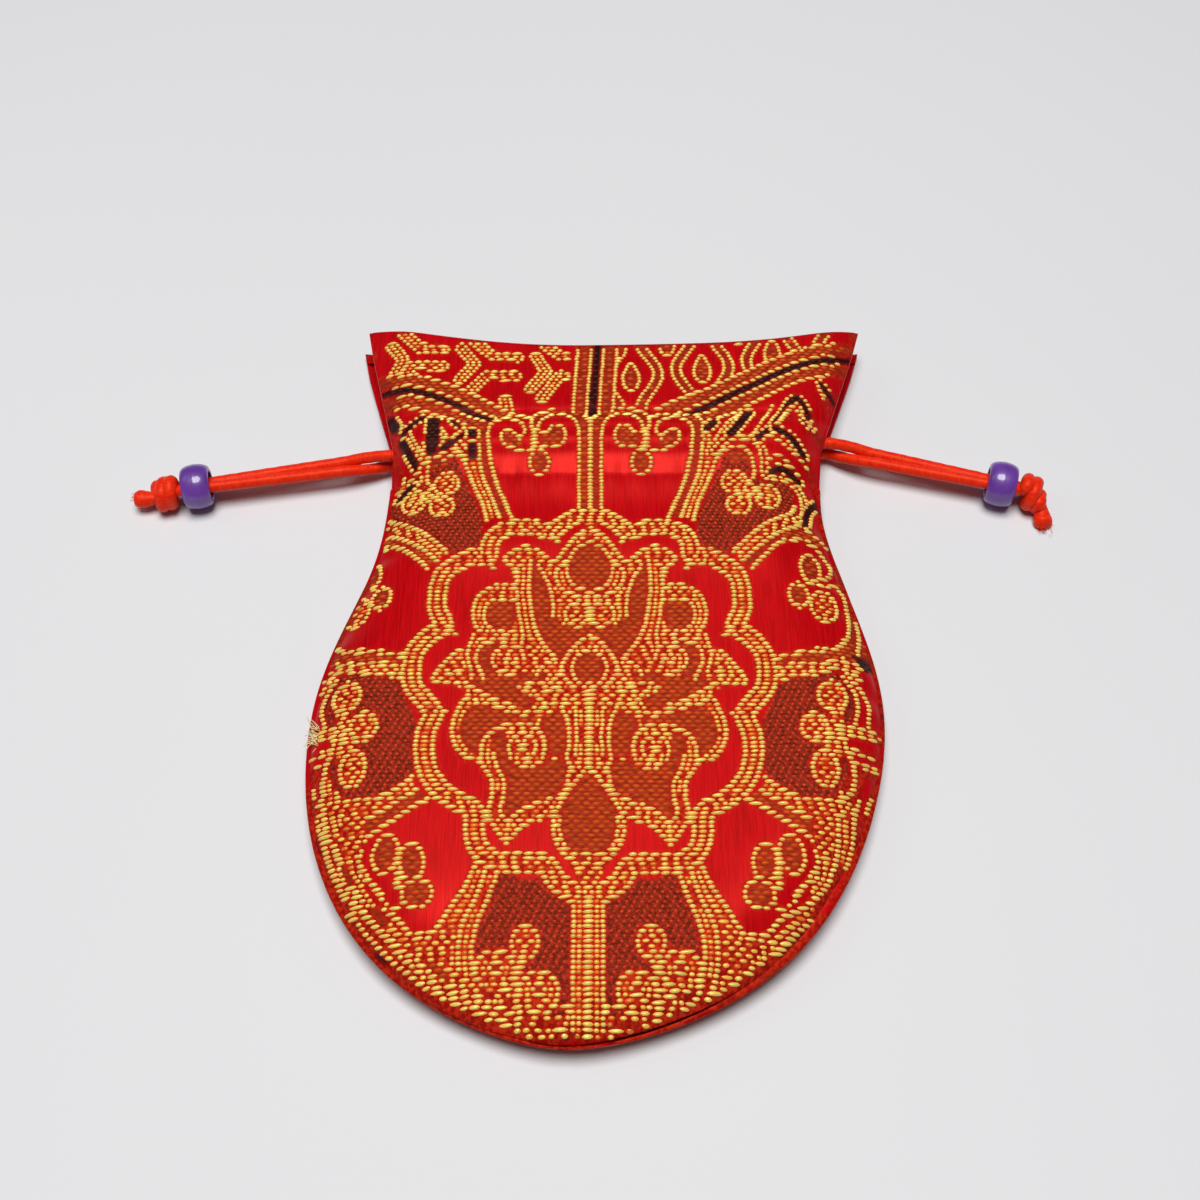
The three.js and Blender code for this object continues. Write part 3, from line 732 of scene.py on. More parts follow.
    paint_palmette(c)


def paint_palmette(c):
    """The medallion's flower: leaves of brown rep with gold outlines."""
    c.fill([(-1, 21.6), (2, 21), (3.8, 18.8), (5.2, 16.8), (6.5, 15), (8.5, 15.6), (10, 17), (12, 17.6), (14, 17.2),
        (16.5, 14.8), (14.3, 12.5), (13.8, 9.5), (16.5, 9.6), (18.8, 8.9), (20.8, 7), (21.5, 4), (21, 0),
        (21.8, -3), (24.4, -5), (26.6, -8), (28.1, -11.2), (24.5, -11.8), (21.6, -13.6), (23.2, -16.4), (24.4, -20),
        (24, -23.6), (21.5, -26.8), (18.5, -27.6), (17, -30.4), (16.9, -34), (17.2, -37.5), (15.6, -40.4),
        (13.6, -42.4), (11.8, -40.2), (9, -38), (6.4, -37.4), (6.3, -40), (5.3, -43), (3.3, -45.4), (-1, -46.4)],
        MOTTLED, AMBER)
    for outline in (
        [(-1, 18.9), (2.2, 17.9), (3.7, 15.5), (4.3, 13), (3.9, 10.7), (2.4, 8.9), (-1, 8)],
        [(10.9, 14.6), (9.5, 12.6), (8.2, 11), (7.4, 8.5), (6.9, 5), (6.3, 2.2), (4.6, 0.4), (-1, 0.2), (-1, -0.6),
            (2.2, -2), (3.7, -4.2), (5, -5.9), (6.3, -5.9), (8, -3.8), (9.3, -1.4), (10.1, 1.5), (10.6, 6),
            (11.2, 11)],
        [(14.6, 5.3), (16.5, 5.6), (18.5, 5), (18.9, 2.6), (18, 0.6), (16.2, -0.2), (14.7, 1), (14.4, 3.2)],
        [(15.2, -2.9), (17.8, -3.1), (19.4, -4.6), (19.7, -7.3), (18.6, -9.6), (16.8, -9.2), (17.8, -7),
            (17.4, -4.8)],
        [(19.4, -10), (20.6, -12), (17.4, -14.4), (13, -15.9), (10.2, -15.6), (12, -12.9), (9.4, -11.6),
            (8.2, -9.4), (11, -9.8), (14, -10.4), (17, -10.6)],
        [(-1, -4.6), (2, -6.1), (3, -8.4), (2, -10.6), (-1, -10.9)],
        [(10.2, -18.4), (14, -18.2), (17, -17.2), (20, -16.6), (21.4, -18.5), (22, -21.5), (20.7, -24),
            (19.2, -25.2), (18.9, -22.6), (16.6, -20.2), (13, -19), (10, -19.4)],
        [(4.6, -17.6), (7.4, -18.4), (7.9, -20), (6.7, -22.2), (6.6, -25), (4.8, -25), (4.2, -21)],
        [(15.4, -21.6), (16.5, -24), (15.7, -27.4), (14, -29.2), (13.4, -31.6), (14, -34.4), (14, -37), (12, -36.8),
            (9, -35), (5.6, -34), (4.4, -31.6), (4, -28.6), (6, -27), (9, -28.6), (13, -28), (14.4, -25)],
        [(-1, -30), (1.6, -31), (3.5, -34.4), (4.6, -37.6), (4.5, -40.6), (3.2, -43.3), (-1, -44.4)],
    ):
        c.fill(outline, REP)
        c.stroke(outline, 1.0, 0, REP, closed=True)
    for points, width in (
        ([(0, 21.3), (2, 20.8), (3.6, 18.8), (5, 16.8), (6.4, 14.8), (7.6, 14.8)], 1.2),
        ([(0, 18.8), (2.2, 17.8), (3.7, 15.5), (4.3, 13), (3.9, 10.8), (2.4, 9.1), (0, 8.1)], 1.0),
        ([(7.4, 14.8), (8.7, 15.9), (10, 17), (12, 17.6), (14, 17.1), (16.2, 15), (14.6, 13.6), (13.8, 11)], 1.2),
        ([(11.1, 14.6), (11.4, 10), (10.9, 5), (10.2, 1), (9.2, -1.8), (7.8, -4.1), (6, -6.2)], 1.2),
        ([(13.3, 13), (13.5, 8), (12.9, 3), (12.2, -1), (12.4, -4)], 1.1),
        ([(9.6, 13.6), (8.3, 11.4), (7.3, 8.6), (6.8, 5.6), (6.8, 3)], 1.1),
        ([(5, 14.5), (6.4, 12), (5.6, 9.4), (4, 7.9), (1.5, 7.2), (0, 7.2)], 1.1),
        ([(0, 5.4), (2, 5.9), (3.7, 5.2), (4.5, 3.6), (4.1, 1.8), (2.6, 0.8), (0.6, 1)], 1.0),
        ([(0, 4.2), (0, 2.2)], 2.6),
        ([(14.3, 9.3), (16.5, 9.4), (18.8, 8.7), (20.7, 7), (21.4, 4), (21, 1), (19.8, -0.6)], 1.1),
        ([(14.4, 6.3), (16.5, 6.4), (18.6, 5.8), (19.4, 3.6), (19, 1.2), (17.3, -0.4), (14.8, -1)], 1.0),
        ([(21, -1), (21.8, -3.6), (22, -6), (21.2, -9)], 1.0),
        ([(15, -2.4), (18, -2.5), (20, -4), (20.4, -7), (19, -10)], 1.1),
        ([(11.7, -6.6), (12.6, -4), (15, -3.6), (17.2, -5), (17.4, -7.4), (15.8, -9), (13.4, -9.4)], 1.0),
        ([(13.6, -6.8), (14.8, -6.4)], 2.2),
        ([(21.8, -4.4), (24, -4.9), (26, -7.2), (28, -10.8), (25.4, -11.3), (22.2, -11.6), (19.8, -13.1),
            (17, -14.8), (13.4, -16.2)], 1.2),
        ([(23, -9), (25.5, -9.8)], 1.4),
        ([(0, -1.5), (2, -2.8), (3.8, -5.3), (5, -8), (4.2, -10.6), (2.6, -12.4)], 1.2),
        ([(0, -4.1), (2.2, -5.7), (3.2, -8.4), (2.2, -10.9), (0.8, -12.2)], 1.0),
        ([(0, -12.4), (0, -14.6)], 2.8),
        ([(6.4, -6.4), (8.4, -7.8), (9.4, -9.4)], 1.0),
        ([(5, -8.4), (6.6, -10.9), (9, -11.4), (12.6, -12.2), (9.6, -13.4), (8.6, -15), (5, -15.6), (2.6, -14.8)],
            1.1),
        ([(5.2, -12.8), (8.2, -12.8)], 1.6),
        ([(7.6, -16.5), (11, -17.5), (14.2, -17), (16.4, -16), (20, -15.2), (21.6, -14.2), (23, -16.4), (24, -20),
            (23.5, -23.4), (21.3, -26.2), (18.6, -26.8)], 1.2),
        ([(18.7, -27), (18.5, -23.4), (16.6, -20.9), (13.6, -19.8), (10.6, -19.9), (8.4, -21.6), (7.7, -24),
            (8, -26)], 1.2),
        ([(13.6, -26.2), (13.9, -23.6), (12.4, -21.8), (10.2, -22.2), (9.2, -24.2), (10, -26.2), (11.4, -26.4)],
            1.0),
        ([(9.4, -27.8), (12.6, -27.6)], 1.0),
        ([(11.2, -24), (11.9, -24.2)], 2.0),
        ([(5.2, -15.8), (3.8, -19), (3.4, -23), (3.8, -26.4), (2.6, -28.6)], 1.1),
        ([(2.4, -17), (2.2, -22), (2.4, -26)], 0.9),
        ([(18.5, -27.6), (16.8, -30.4), (16.5, -33.6), (16.9, -36.8), (15.6, -39.8), (13.7, -42), (12, -40),
            (10, -38.4), (7.8, -37.6), (6, -36.8)], 1.2),
        ([(16.6, -25.4), (16, -28), (14.7, -30.6), (14.6, -33.6), (15, -36.6), (13.8, -38.4)], 1.1),
        ([(3.4, -28.5), (3.7, -31), (4.8, -33.3), (7.4, -34.6), (10.2, -35.6), (12.2, -37), (13.6, -38.6)], 1.1),
        ([(0, -16.5), (0, -28.6)], 2.0),
        ([(1, -29), (2.4, -31), (4.2, -34), (5.7, -36.8), (6, -39.8), (5.2, -42.6), (3.2, -45), (0, -46.1)], 1.1),
        ([(4.9, -37.4), (4.9, -40.2), (3.9, -42.8), (2.2, -44.2), (0, -44.5)], 0.9),
    ):
        c.stroke(points, width)


def paint_heading(c):
    """The upper part, which isn't symmetrical: stripes, ogees, tortoiseshell strokes and slanting borders."""
    right_field = [(4.2, 51.6), (9, 52), (12.5, 51.3), (16, 52.6), (20, 55.2), (25, 58), (30, 60.8), (36, 64),
        (41, 66.6), (46, 68.8), (51, 70.6), (58, 72), (58, 79), (4.2, 79)]
    left_field = [(-4, 51.3), (-8, 51.8), (-13, 51), (-17.5, 52), (-22, 54.3), (-27, 57.2), (-32, 59.5),
        (-37, 61.2), (-46, 63), (-55, 64), (-55, 79), (-4, 79)]
    right_border = [(19.5, 50.5), (23, 52), (27, 54.3), (32, 57.3), (38, 61), (43, 63.5), (48, 65.3), (55, 67)]
    left_border = [(-18, 47.7), (-22, 50), (-27, 53), (-32, 55.3), (-37, 57), (-47, 58.6)]
    everywhere = c.clip.copy()
    for field, sign in ((right_field, 1), (left_field, -1)):
        c.fill(field, RED, rounded=False)
        area, found = c.inside(field)
        c.clip[:] = False
        c.clip[area] = found
        if sign > 0:
            for k in range(-1, 7):
                y = np.linspace(50, 78, 15)
                bulge = (-1) ** k * 1.8 * np.cos(2 * np.pi * (y - 60.5 - 1.3 * k) / 19)
                c.band(np.stack([8.3 + 7.3 * (k + 0.5) + bulge, y], 1), 1.35, 0.85, RIBS, steps=4)
            for p, y in ((8.2, 59.6), (22.8, 62), (37.6, 66.6), (15.7, 69.6), (30.6, 73), (45.3, 76)):
                outline = [(p, y + 4), (p + 1.2, y + 2), (p + 1.7, y - 0.6), (p + 1.1, y - 2.9), (p, y - 3.6),
                    (p - 1.2, y - 2.7),
                           (p - 1.7, y - 0.2), (p - 1, y + 2.2)]
                c.fill(outline, REP)
                c.stroke(outline, 0.95, closed=True)
        else:
            for points in (
                [(-41.5, 69.4), (-38.7, 65.3), (-40.9, 60.6)], [(-26.8, 68), (-23.8, 63.8), (-26.7, 59.4)],
                [(-11.4, 66), (-9.1, 61.6), (-12.2, 56.8)], [(-39.2, 72.3), (-35.4, 68), (-30.4, 67.6)],
                [(-24.2, 70), (-20.3, 66.2), (-15, 65.7)], [(-9.3, 68.8), (-5.8, 65.8), (-2.6, 65.7)],
                [(-39.8, 57.4), (-36.6, 63.4), (-30.3, 63)], [(-24.7, 55.8), (-21, 60.9), (-15.2, 60.4)],
                [(-9.8, 54.2), (-6.2, 60.4), (-2.6, 59.9)], [(-54, 77), (-51, 69), (-46, 68)],
                    [(-17.2, 54.4), (-16.5, 51)],
            ):
                c.band(points, 1.45, 0.85, steps=1)
        c.clip[:] = everywhere
    above_right = [(11.5, 50.9), (15, 51), (19, 50.7), (22, 49.4), (23.2, 46.5), (27, 46.5), (60, 58), (60, 80),
        (11.5, 80)]
    above_left = [(-9, 50.6), (-13, 50.4), (-17, 50), (-20.5, 48), (-22, 46), (-26, 46), (-60, 48), (-60, 80),
        (-9, 80)]
    stripe = [(-3.9, 50.9), (-1.2, 49.8), (0, 49), (1.4, 49.8), (4.9, 50.9), (7, 79), (-3, 79)]
    lean = [(0.45 + 0.055 * (y - 50.5), y) for y in (44, 52, 60, 70, 80)]
    for region, line, half, edge in (
        (above_right, [(8, 44.4), (14, 47.6), *right_border, (62, 69)], 4.3, 0.95),
        (above_left, [(-6, 41.5), (-12, 44.6), *left_border, (-60, 61)], 4.3, 0.95),
        (stripe, lean, 4.6, 1.1),
    ):
        area, found = c.inside(region)
        c.clip[:] = False
        c.clip[area] = found
        c.band(line, half, edge, RIBS)
        c.band(line, half * 0.37, 0.85, DARK)
        c.clip[:] = everywhere

    # Dark leaves and key strokes on red, between the borders and the compartments
    for points, half in (
        ([(-31.2, 48.6), (-31, 41.5)], 1.9), ([(-37.6, 45.3), (-36, 42), (-34.2, 38.6)], 1.35),
            ([(-28.8, 41.8), (-25.3, 45)], 1.35),
        ([(-37.3, 46.8), (-33.6, 49.8)], 1.25), ([(-23.4, 45.6), (-23.2, 44.6)], 1.5),
            ([(-23.2, 42.3), (-23, 39.8)], 1.5),
        ([(-37.6, 32.6), (-34, 36)], 1.3), ([(-27.6, 48.5), (-25.2, 46.2)], 1.0), ([(-40.5, 51.5), (-39, 49)], 1.6),
        ([(33, 43.6), (36, 46.6), (38.3, 50.5), (41.4, 54.6), (43.8, 51), (42.6, 49.5), (45.8, 46.4)], 1.2),
        ([(36.6, 46.2), (39.4, 44.4), (42, 41.2)], 1.35), ([(27.6, 44.6), (30, 48), (31.7, 50.8)], 1.4),
            ([(23, 46), (24.6, 47.6)], 1.3),
        ([(35.4, 36.6), (38, 37.4), (41, 36)], 1.3), ([(44.5, 32), (42.4, 28.6), (41.6, 25)], 1.2),
            ([(47, 59), (49.5, 56)], 1.2),
    ):
        c.band(points, half, 0.55, DARK)
    for points in (
        [(34.6, 44.3), (37.2, 43.2), (39.6, 41.2), (42.6, 39.2), (45, 36)],
            [(37, 47.6), (40.3, 52.4), (43, 49.4), (46.5, 45)],
        [(24.4, 43), (26.6, 46.8), (30, 51)], [(31.5, 44), (34.4, 48.6), (36.5, 52.6)],
            [(46.4, 57.6), (48.6, 53.5)],
        [(34.6, 38.6), (37, 39.8), (41, 37.2)], [(41, 23.6), (44, 22), (46, 20)],
        [(-39.4, 46), (-38.8, 42), (-36.8, 37.4), (-34, 35.6)], [(-35.6, 45.6), (-33.8, 42), (-32.6, 39.6)],
        [(-33.6, 38.2), (-31, 40.2), (-28.6, 39.4), (-25.4, 40.6)], [(-29.6, 47), (-27.6, 44), (-25, 46.8)],
    ):
        c.stroke(points, 0.9)


def whole_cloth():
    half = Cloth(0, 60)
    paint_half(half)
    full = Cloth(-60 + CELL_P, 60)
    for whole, part in ((full.ground, half.ground), (full.line, half.line)):
        joined = np.hstack([part[:, :0:-1], part])
        whole[:, :joined.shape[1]] = joined[:, :whole.shape[1]]
    paint_heading(full)
    # The cloth isn't centred on the pouch, so more of it shows at the lower left.
    s = np.array([1.5, 3, 6, 10, 15, 21, 28, 36, 44])
    for gap, line in ((4.0, AMBER), (2.6, GOLD), (1.1, GOLD)):
        across = centre_line(s) - half_width(s) + gap - PATTERN_AXIS
        full.stroke(np.stack([across, s - LENGTH / 2 + gap * (1 - s / BELLY_STATION)], 1), 1.0, line)
    for a, b in (((-41, -46), (-39.6, -48.4)), ((-35.6, -53), (-33.4, -55.6)), ((-25.6, -62.4), (-22.8, -64.6))):
        full.stroke([a, b], 1.0, 0, REP)
    return full


def pulled(y):
    """The arches sit a little low, where the channel takes the cloth up."""
    return 1.1 * smooth(24, 38, y) * (1 - smooth(50, 66, y))


cloth = whole_cloth()


# ---- the panels' outer surfaces
def ripple(across, s, distance):
    """Small puckers that the side seam and the channel's two stitch lines draw into the cloth."""
    rise = np.clip((BELLY_STATION - s) / BELLY_STATION, 0, 1)
    round_seam = BELLY_STATION - 54 * np.arctan2(rise, np.abs(across) / BELLY_HALF_WIDTH)
    along = np.where(s > BELLY_STATION, s, round_seam) + 3 * np.sign(across)
    seam = 0.3 * np.sin(along * 0.83 + 1.2 * np.sin(along * 0.21))
    seam = seam * np.exp(-((distance / 5.0) ** 2)) * smooth(0, 1.5, distance)
    line = np.exp(-(((s - LOWER_STITCH) / 3.0) ** 2)) + np.exp(-(((s - UPPER_STITCH) / 2.6) ** 2))
    stitched = 0.10 * np.sin(across * 1.17 + 0.9 * np.sin(across * 0.31)) * line
    return seam * (1 - 0.7 * slit_opening(s)) + stitched * smooth(0, 4, distance)


def front_surface(x, y):
    """Height of the front panel's face over a point."""
    s = np.clip(y + LENGTH / 2, 0.02, LENGTH + 1)
    across = x - centre_line(s)
    limit = half_width(s)
    across = np.clip(across, -limit, limit)
    distance = edge_distance(across, s)
    z = front_height(across, s)
    z = z - 0.72 * np.exp(-distance / 0.9) * (1 - slit_opening(s))
    groove = 0.75 * np.exp(-np.abs(s - LOWER_STITCH) / np.where(s > LOWER_STITCH, 9.0, 3.6))
    groove = groove + 0.5 * np.exp(-np.abs(s - UPPER_STITCH) / 1.4)
    groove = groove - 0.9 * np.exp(-(((s - 95) / 8) ** 2)) * smooth(0, 12, distance)
    swell = 0.55 * smooth(LOWER_STITCH, 114.5, s) * (1 - smooth(120.5, UPPER_STITCH, s))
    ridges = 0.28 * np.exp(-(((s - 117.6) / 1.2) ** 2)) + 0.22 * np.exp(-(((s - 121.4) / 1.1) ** 2))
    inner = smooth(2, 9, distance)
    slack = 0.45 * np.sin(x / 15 + 0.8) * np.sin(y / 19 - 0.4) + 0.25 * np.sin(x / 8.3 - y / 11)
    return z + (swell + ridges) * smooth(0, 5, distance) - groove + ripple(across, s, distance) + slack * inner * 0.8


def back_surface(x, y):
    """Height of the back panel's face over a point; it lies on the surface below, on its raised threads."""
    s = np.clip(y + LENGTH / 2, 0.02, LENGTH + 1)
    limit = half_width(s)
    across = np.clip(x - centre_line(s), -limit, limit)
    distance = edge_distance(across, s)
    z = back_height(across, s) + 0.34 + 0.5 * np.exp(-distance / 0.9) * (1 - slit_opening(s))
    groove = 0.3 * np.exp(-(((s - LOWER_STITCH) / 0.75) ** 2)) + 0.3 * np.exp(-(((s - UPPER_STITCH) / 0.7) ** 2))
    return z + groove + np.abs(ripple(across, s, distance)) * 0.6


def mouth_edge(share, dip):
    return LENGTH / 2 - dip * (1 - np.abs(share) ** SAG_POWER)


def panel_grid(columns, lower_rows, upper_rows, dip):
    """Places over the panel, row by row from the tip to the mouth."""
    t = np.linspace(-1, 1, columns)
    share = 0.72 * t + 0.28 * np.sin(np.pi * t / 2)
    low = BELLY_STATION * (1 - np.cos(np.linspace(0.02, np.pi / 2, lower_rows)))
    high = np.linspace(BELLY_STATION, LENGTH, upper_rows + 1)[1:]
    s = np.concatenate([low, high])[:, None] * np.ones(columns)
    share = np.ones((len(s), 1)) * share
    sag = dip * (1 - np.abs(share) ** SAG_POWER) * smooth(DIP_STATION, LENGTH, s)
    y = s - sag - LENGTH / 2
    x = share * half_width(s) + centre_line(s)
    return x, y, share


def weave_masks(p, y):
    """Shares of mottled, rep, basket and black ground at each place."""
    columns = np.clip(np.round((p - cloth.p[0]) / CELL_P).astype(int), 1, len(cloth.p) - 2)
    rows = np.clip(np.round((y - cloth.y[0]) / CELL_Y).astype(int), 1, len(cloth.y) - 2)
    out = np.zeros((len(p), 4))
    for k, kind in enumerate((MOTTLED, REP, BASKET, BLACK)):
        same = cloth.ground == kind
        for dr in (-1, 0, 1):
            for dc in (-1, 0, 1):
                out[:, k] += same[rows + dr, columns + dc] / 9
    return out


def red_sheen(metallic):
    return {"Metallic": metallic, "Specular IOR Level": 0.4, "Specular Tint": (1.0, 0.16, 0.1, 1.0)}


def brocade_material():
    made, tree, shader = material("brocade_ground")
    masks = node(tree, "ShaderNodeAttribute", {}, attribute_name="weave")
    split = node(tree, "ShaderNodeSeparateColor", {"Color": masks.outputs["Color"]})
    warp = stretched(tree, (5600, 160, 160), roughness=0.6)
    cloud = stretched(tree, (90, 60, 90))
    speck = stretched(tree, (1500, 1300, 900))
    rib = stretched(tree, (700, 2400, 500))
    colour = blend_colours(tree, ramp(tree, warp, 0.32, 0.68), (0.36, 0.0, 0.002), (0.60, 0.002, 0.006))
    patchy = math_node(tree, "MULTIPLY", ramp(tree, cloud, 0.4, 0.7), 0.25)
    colour = blend_colours(tree, patchy, colour, (0.68, 0.004, 0.008))
    # The mottled ground is the red warp between the gold floats, painted a little darker as painted shade between the
    # weft rows.
    for output, share, dark, light in (
        ("Red", ramp(tree, speck, 0.42, 0.58), (0.30, 0.004, 0.002), (0.50, 0.022, 0.005)),
        ("Green", ramp(tree, rib, 0.35, 0.65), (0.20, 0.014, 0.004), (0.40, 0.030, 0.008)),
        ("Blue", ramp(tree, speck, 0.4, 0.6), (0.11, 0.006, 0.003), (0.34, 0.020, 0.010)),
    ):
        colour = blend_colours(tree, split.outputs[output], colour, blend_colours(tree, share, dark, light))
    figured = math_node(tree, "ADD", split.outputs["Green"], split.outputs["Blue"])
    figured = math_node(tree, "MULTIPLY", math_node(tree, "ADD", split.outputs["Red"], figured), 0.25)
    plug(tree, shader, {
        "Base Color": blend_colours(tree, masks.outputs["Alpha"], colour, (0.022, 0.004, 0.005)),
        "Roughness": math_node(tree, "ADD", figured, 0.36),
        **red_sheen(0.1),
    })
    bump(tree, shader, warp, 0.00004, 0.4)
    return made


def weft_material(name, roughness, metallic, shine):
    made, tree, shader = material(name)
    tint = node(tree, "ShaderNodeAttribute", {}, attribute_name="tint").outputs["Color"]
    fibre = stretched(tree, (900, 6200, 2500), 3.0, 0.6)
    dark = node(tree, "ShaderNodeHueSaturation", {"Color": tint, "Value": 0.8, "Saturation": 1.05})
    plug(tree, shader, {
        "Base Color": blend_colours(tree, ramp(tree, fibre, 0.2, 0.75), dark.outputs["Color"], tint),
        "Roughness": roughness,
        "Metallic": metallic,
        "Specular IOR Level": shine,
        "Specular Tint": (1.0, 0.86, 0.5, 1.0),
    })
    bump(tree, shader, fibre, 0.00006, 0.7)
    return made


def satin_material(name, deep, bright):
    made, tree, shader = material(name)
    warp = stretched(tree, (5200, 160, 160), roughness=0.6)
    cloud = stretched(tree, (120, 80, 120))
    colour = blend_colours(tree, ramp(tree, warp, 0.32, 0.68), deep, bright)
    patchy = math_node(tree, "MULTIPLY", ramp(tree, cloud, 0.35, 0.7), 0.3)
    plug(tree, shader, {"Base Color": blend_colours(tree, patchy, colour, deep), "Roughness": 0.36, **red_sheen(0.15)})
    bump(tree, shader, warp, 0.00004, 0.4)
    return made


brocade_finish = brocade_material()
gold_finish = weft_material("metallic_weft", 0.33, 0.08, 0.9)
ground_finish = weft_material("ground_weft", 0.55, 0.0, 0.2)
lining_finish = satin_material("lining_satin", (0.36, 0.0, 0.004), (0.64, 0.006, 0.012))
thread_finish = satin_material("sewing_thread", (0.40, 0.004, 0.006), (0.66, 0.012, 0.014))


def panel(name, surface, dip, down, wider, peep):
    """One brocade panel: its face, with an edge that rolls inwards all round."""
    x, y, share = panel_grid(176, 122, 158, dip)
    x = x + wider * np.where(share < 0, 1.7, 0.8) * share * smooth(SEAM_END, LENGTH, y + LENGTH / 2)
    z = surface(x, y)
    s = y + LENGTH / 2
    across = x - centre_line(s)
    away = np.stack([across / BELLY_HALF_WIDTH, np.minimum(0, (s - BELLY_STATION) / BELLY_STATION)])
    away /= np.hypot(*away) + 1e-6
    grow = peep * np.exp(-edge_distance(across, s) / 3) * (1 - smooth(12, 46, s)) * (0.75 + 0.5 * np.tanh(across / 20))
    x, y = x + grow * away[0], y + grow * away[1]
    facing = -1.0 if down else 1.0
    face = np.stack([x, y, z], -1)
    # The mouth's edge rolls over a round lip and runs a little way back inside.
    top, lip = face[-1], []
    for angle in np.radians([40, 80, 125, 170]):
        lip.append(top + HEM_ROLL * np.array([0, math.sin(angle), -facing * (1 - math.cos(angle))]))
    tucked = top + np.array([0, -HEM_DEPTH, -facing * 2 * HEM_ROLL])
    middle, above = centre_line(tucked[:, 1] + LENGTH / 2), top[:, 1] + LENGTH / 2
    tucked[:, 0] = middle + (top[:, 0] - centre_line(above)) * half_width(above - HEM_DEPTH) / half_width(above)
    face = np.concatenate([face, np.array([*lip, tucked])])
    # The side edges roll in the same way.
    columns = [face]
    keep = np.clip((len(x) - 1 - np.arange(len(face))) / 12, 0.01, 1)[:, None]
    for side in (0, -1):
        edge = face[:, side]
        way = np.sign(share[-1, side])
        strips = []
        for angle in np.radians([45, 95, 150]):
            roll = np.array([way * math.sin(angle), 0, -facing * (1 - math.cos(angle))])
            strips.append(edge + keep * SEAM_ROLL * roll)
        inside = edge + keep * np.array([-way * 1.6, 0, -facing * 0.66])
        inside[:, 0] = np.where(np.abs(inside[:, 0]) < 1, edge[:, 0], inside[:, 0])
        strips = np.array([*strips, inside]).transpose(1, 0, 2)
        columns = [strips[:, ::-1], *columns] if side == 0 else [*columns, strips]
    points = np.concatenate(columns, 1)
    quads = grid_quads(points.shape[0], points.shape[1])
    if down:
        quads = quads[:, ::-1]
    flat = points.reshape(-1, 3)
    flat[:, 2] = np.maximum(flat[:, 2], 0.02)
    made = mesh_object(f"{name}_cloth", flat, quads, brocade_finish)
    masks = weave_masks(*pattern_place(flat[:, 0], flat[:, 1], down)).reshape(*points.shape[:2], 4)
    above = points[:, 0, 1] > SEAM_END - LENGTH / 2
    masks[above, :4] = masks[above, -4:] = 0
    set_colours(made, "weave", masks.reshape(-1, 4))
    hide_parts(name)
    return made


def pattern_place(x, y, down):
    """The back is cut from the same cloth, turned over and a little further along it."""
    return (PATTERN_AXIS - x + BACK_SHIFT if down else x - PATTERN_AXIS), y + pulled(y + 1)


# ---- floating weft threads
GOLD_TINT, AMBER_TINT, ORANGE_TINT = (1.0, 0.76, 0.18), (1.0, 0.62, 0.12), (0.86, 0.22, 0.03)
BROWN_TINT, RED_TINT, BLACK_TINT = (0.62, 0.085, 0.012), (0.62, 0.055, 0.020), (0.040, 0.010, 0.008)
BASKET_TINT = (0.21, 0.030, 0.010)
CELLS_PER_ROW = 4  # raster rows to one row of weft
GOLD_FLOAT, FLOAT_WIDTH, FLOAT_GAP = 1.95, 0.66, 0.06
AMBER_FLOAT, AMBER_PITCH = 1.3, 1.9


def runs(values, wanted):
    """Start and end indices of each stretch of the wanted value."""
    on = np.concatenate([[0], (values == wanted).astype(int), [0]])
    change = np.flatnonzero(np.diff(on))
    return change[::2], change[1::2]


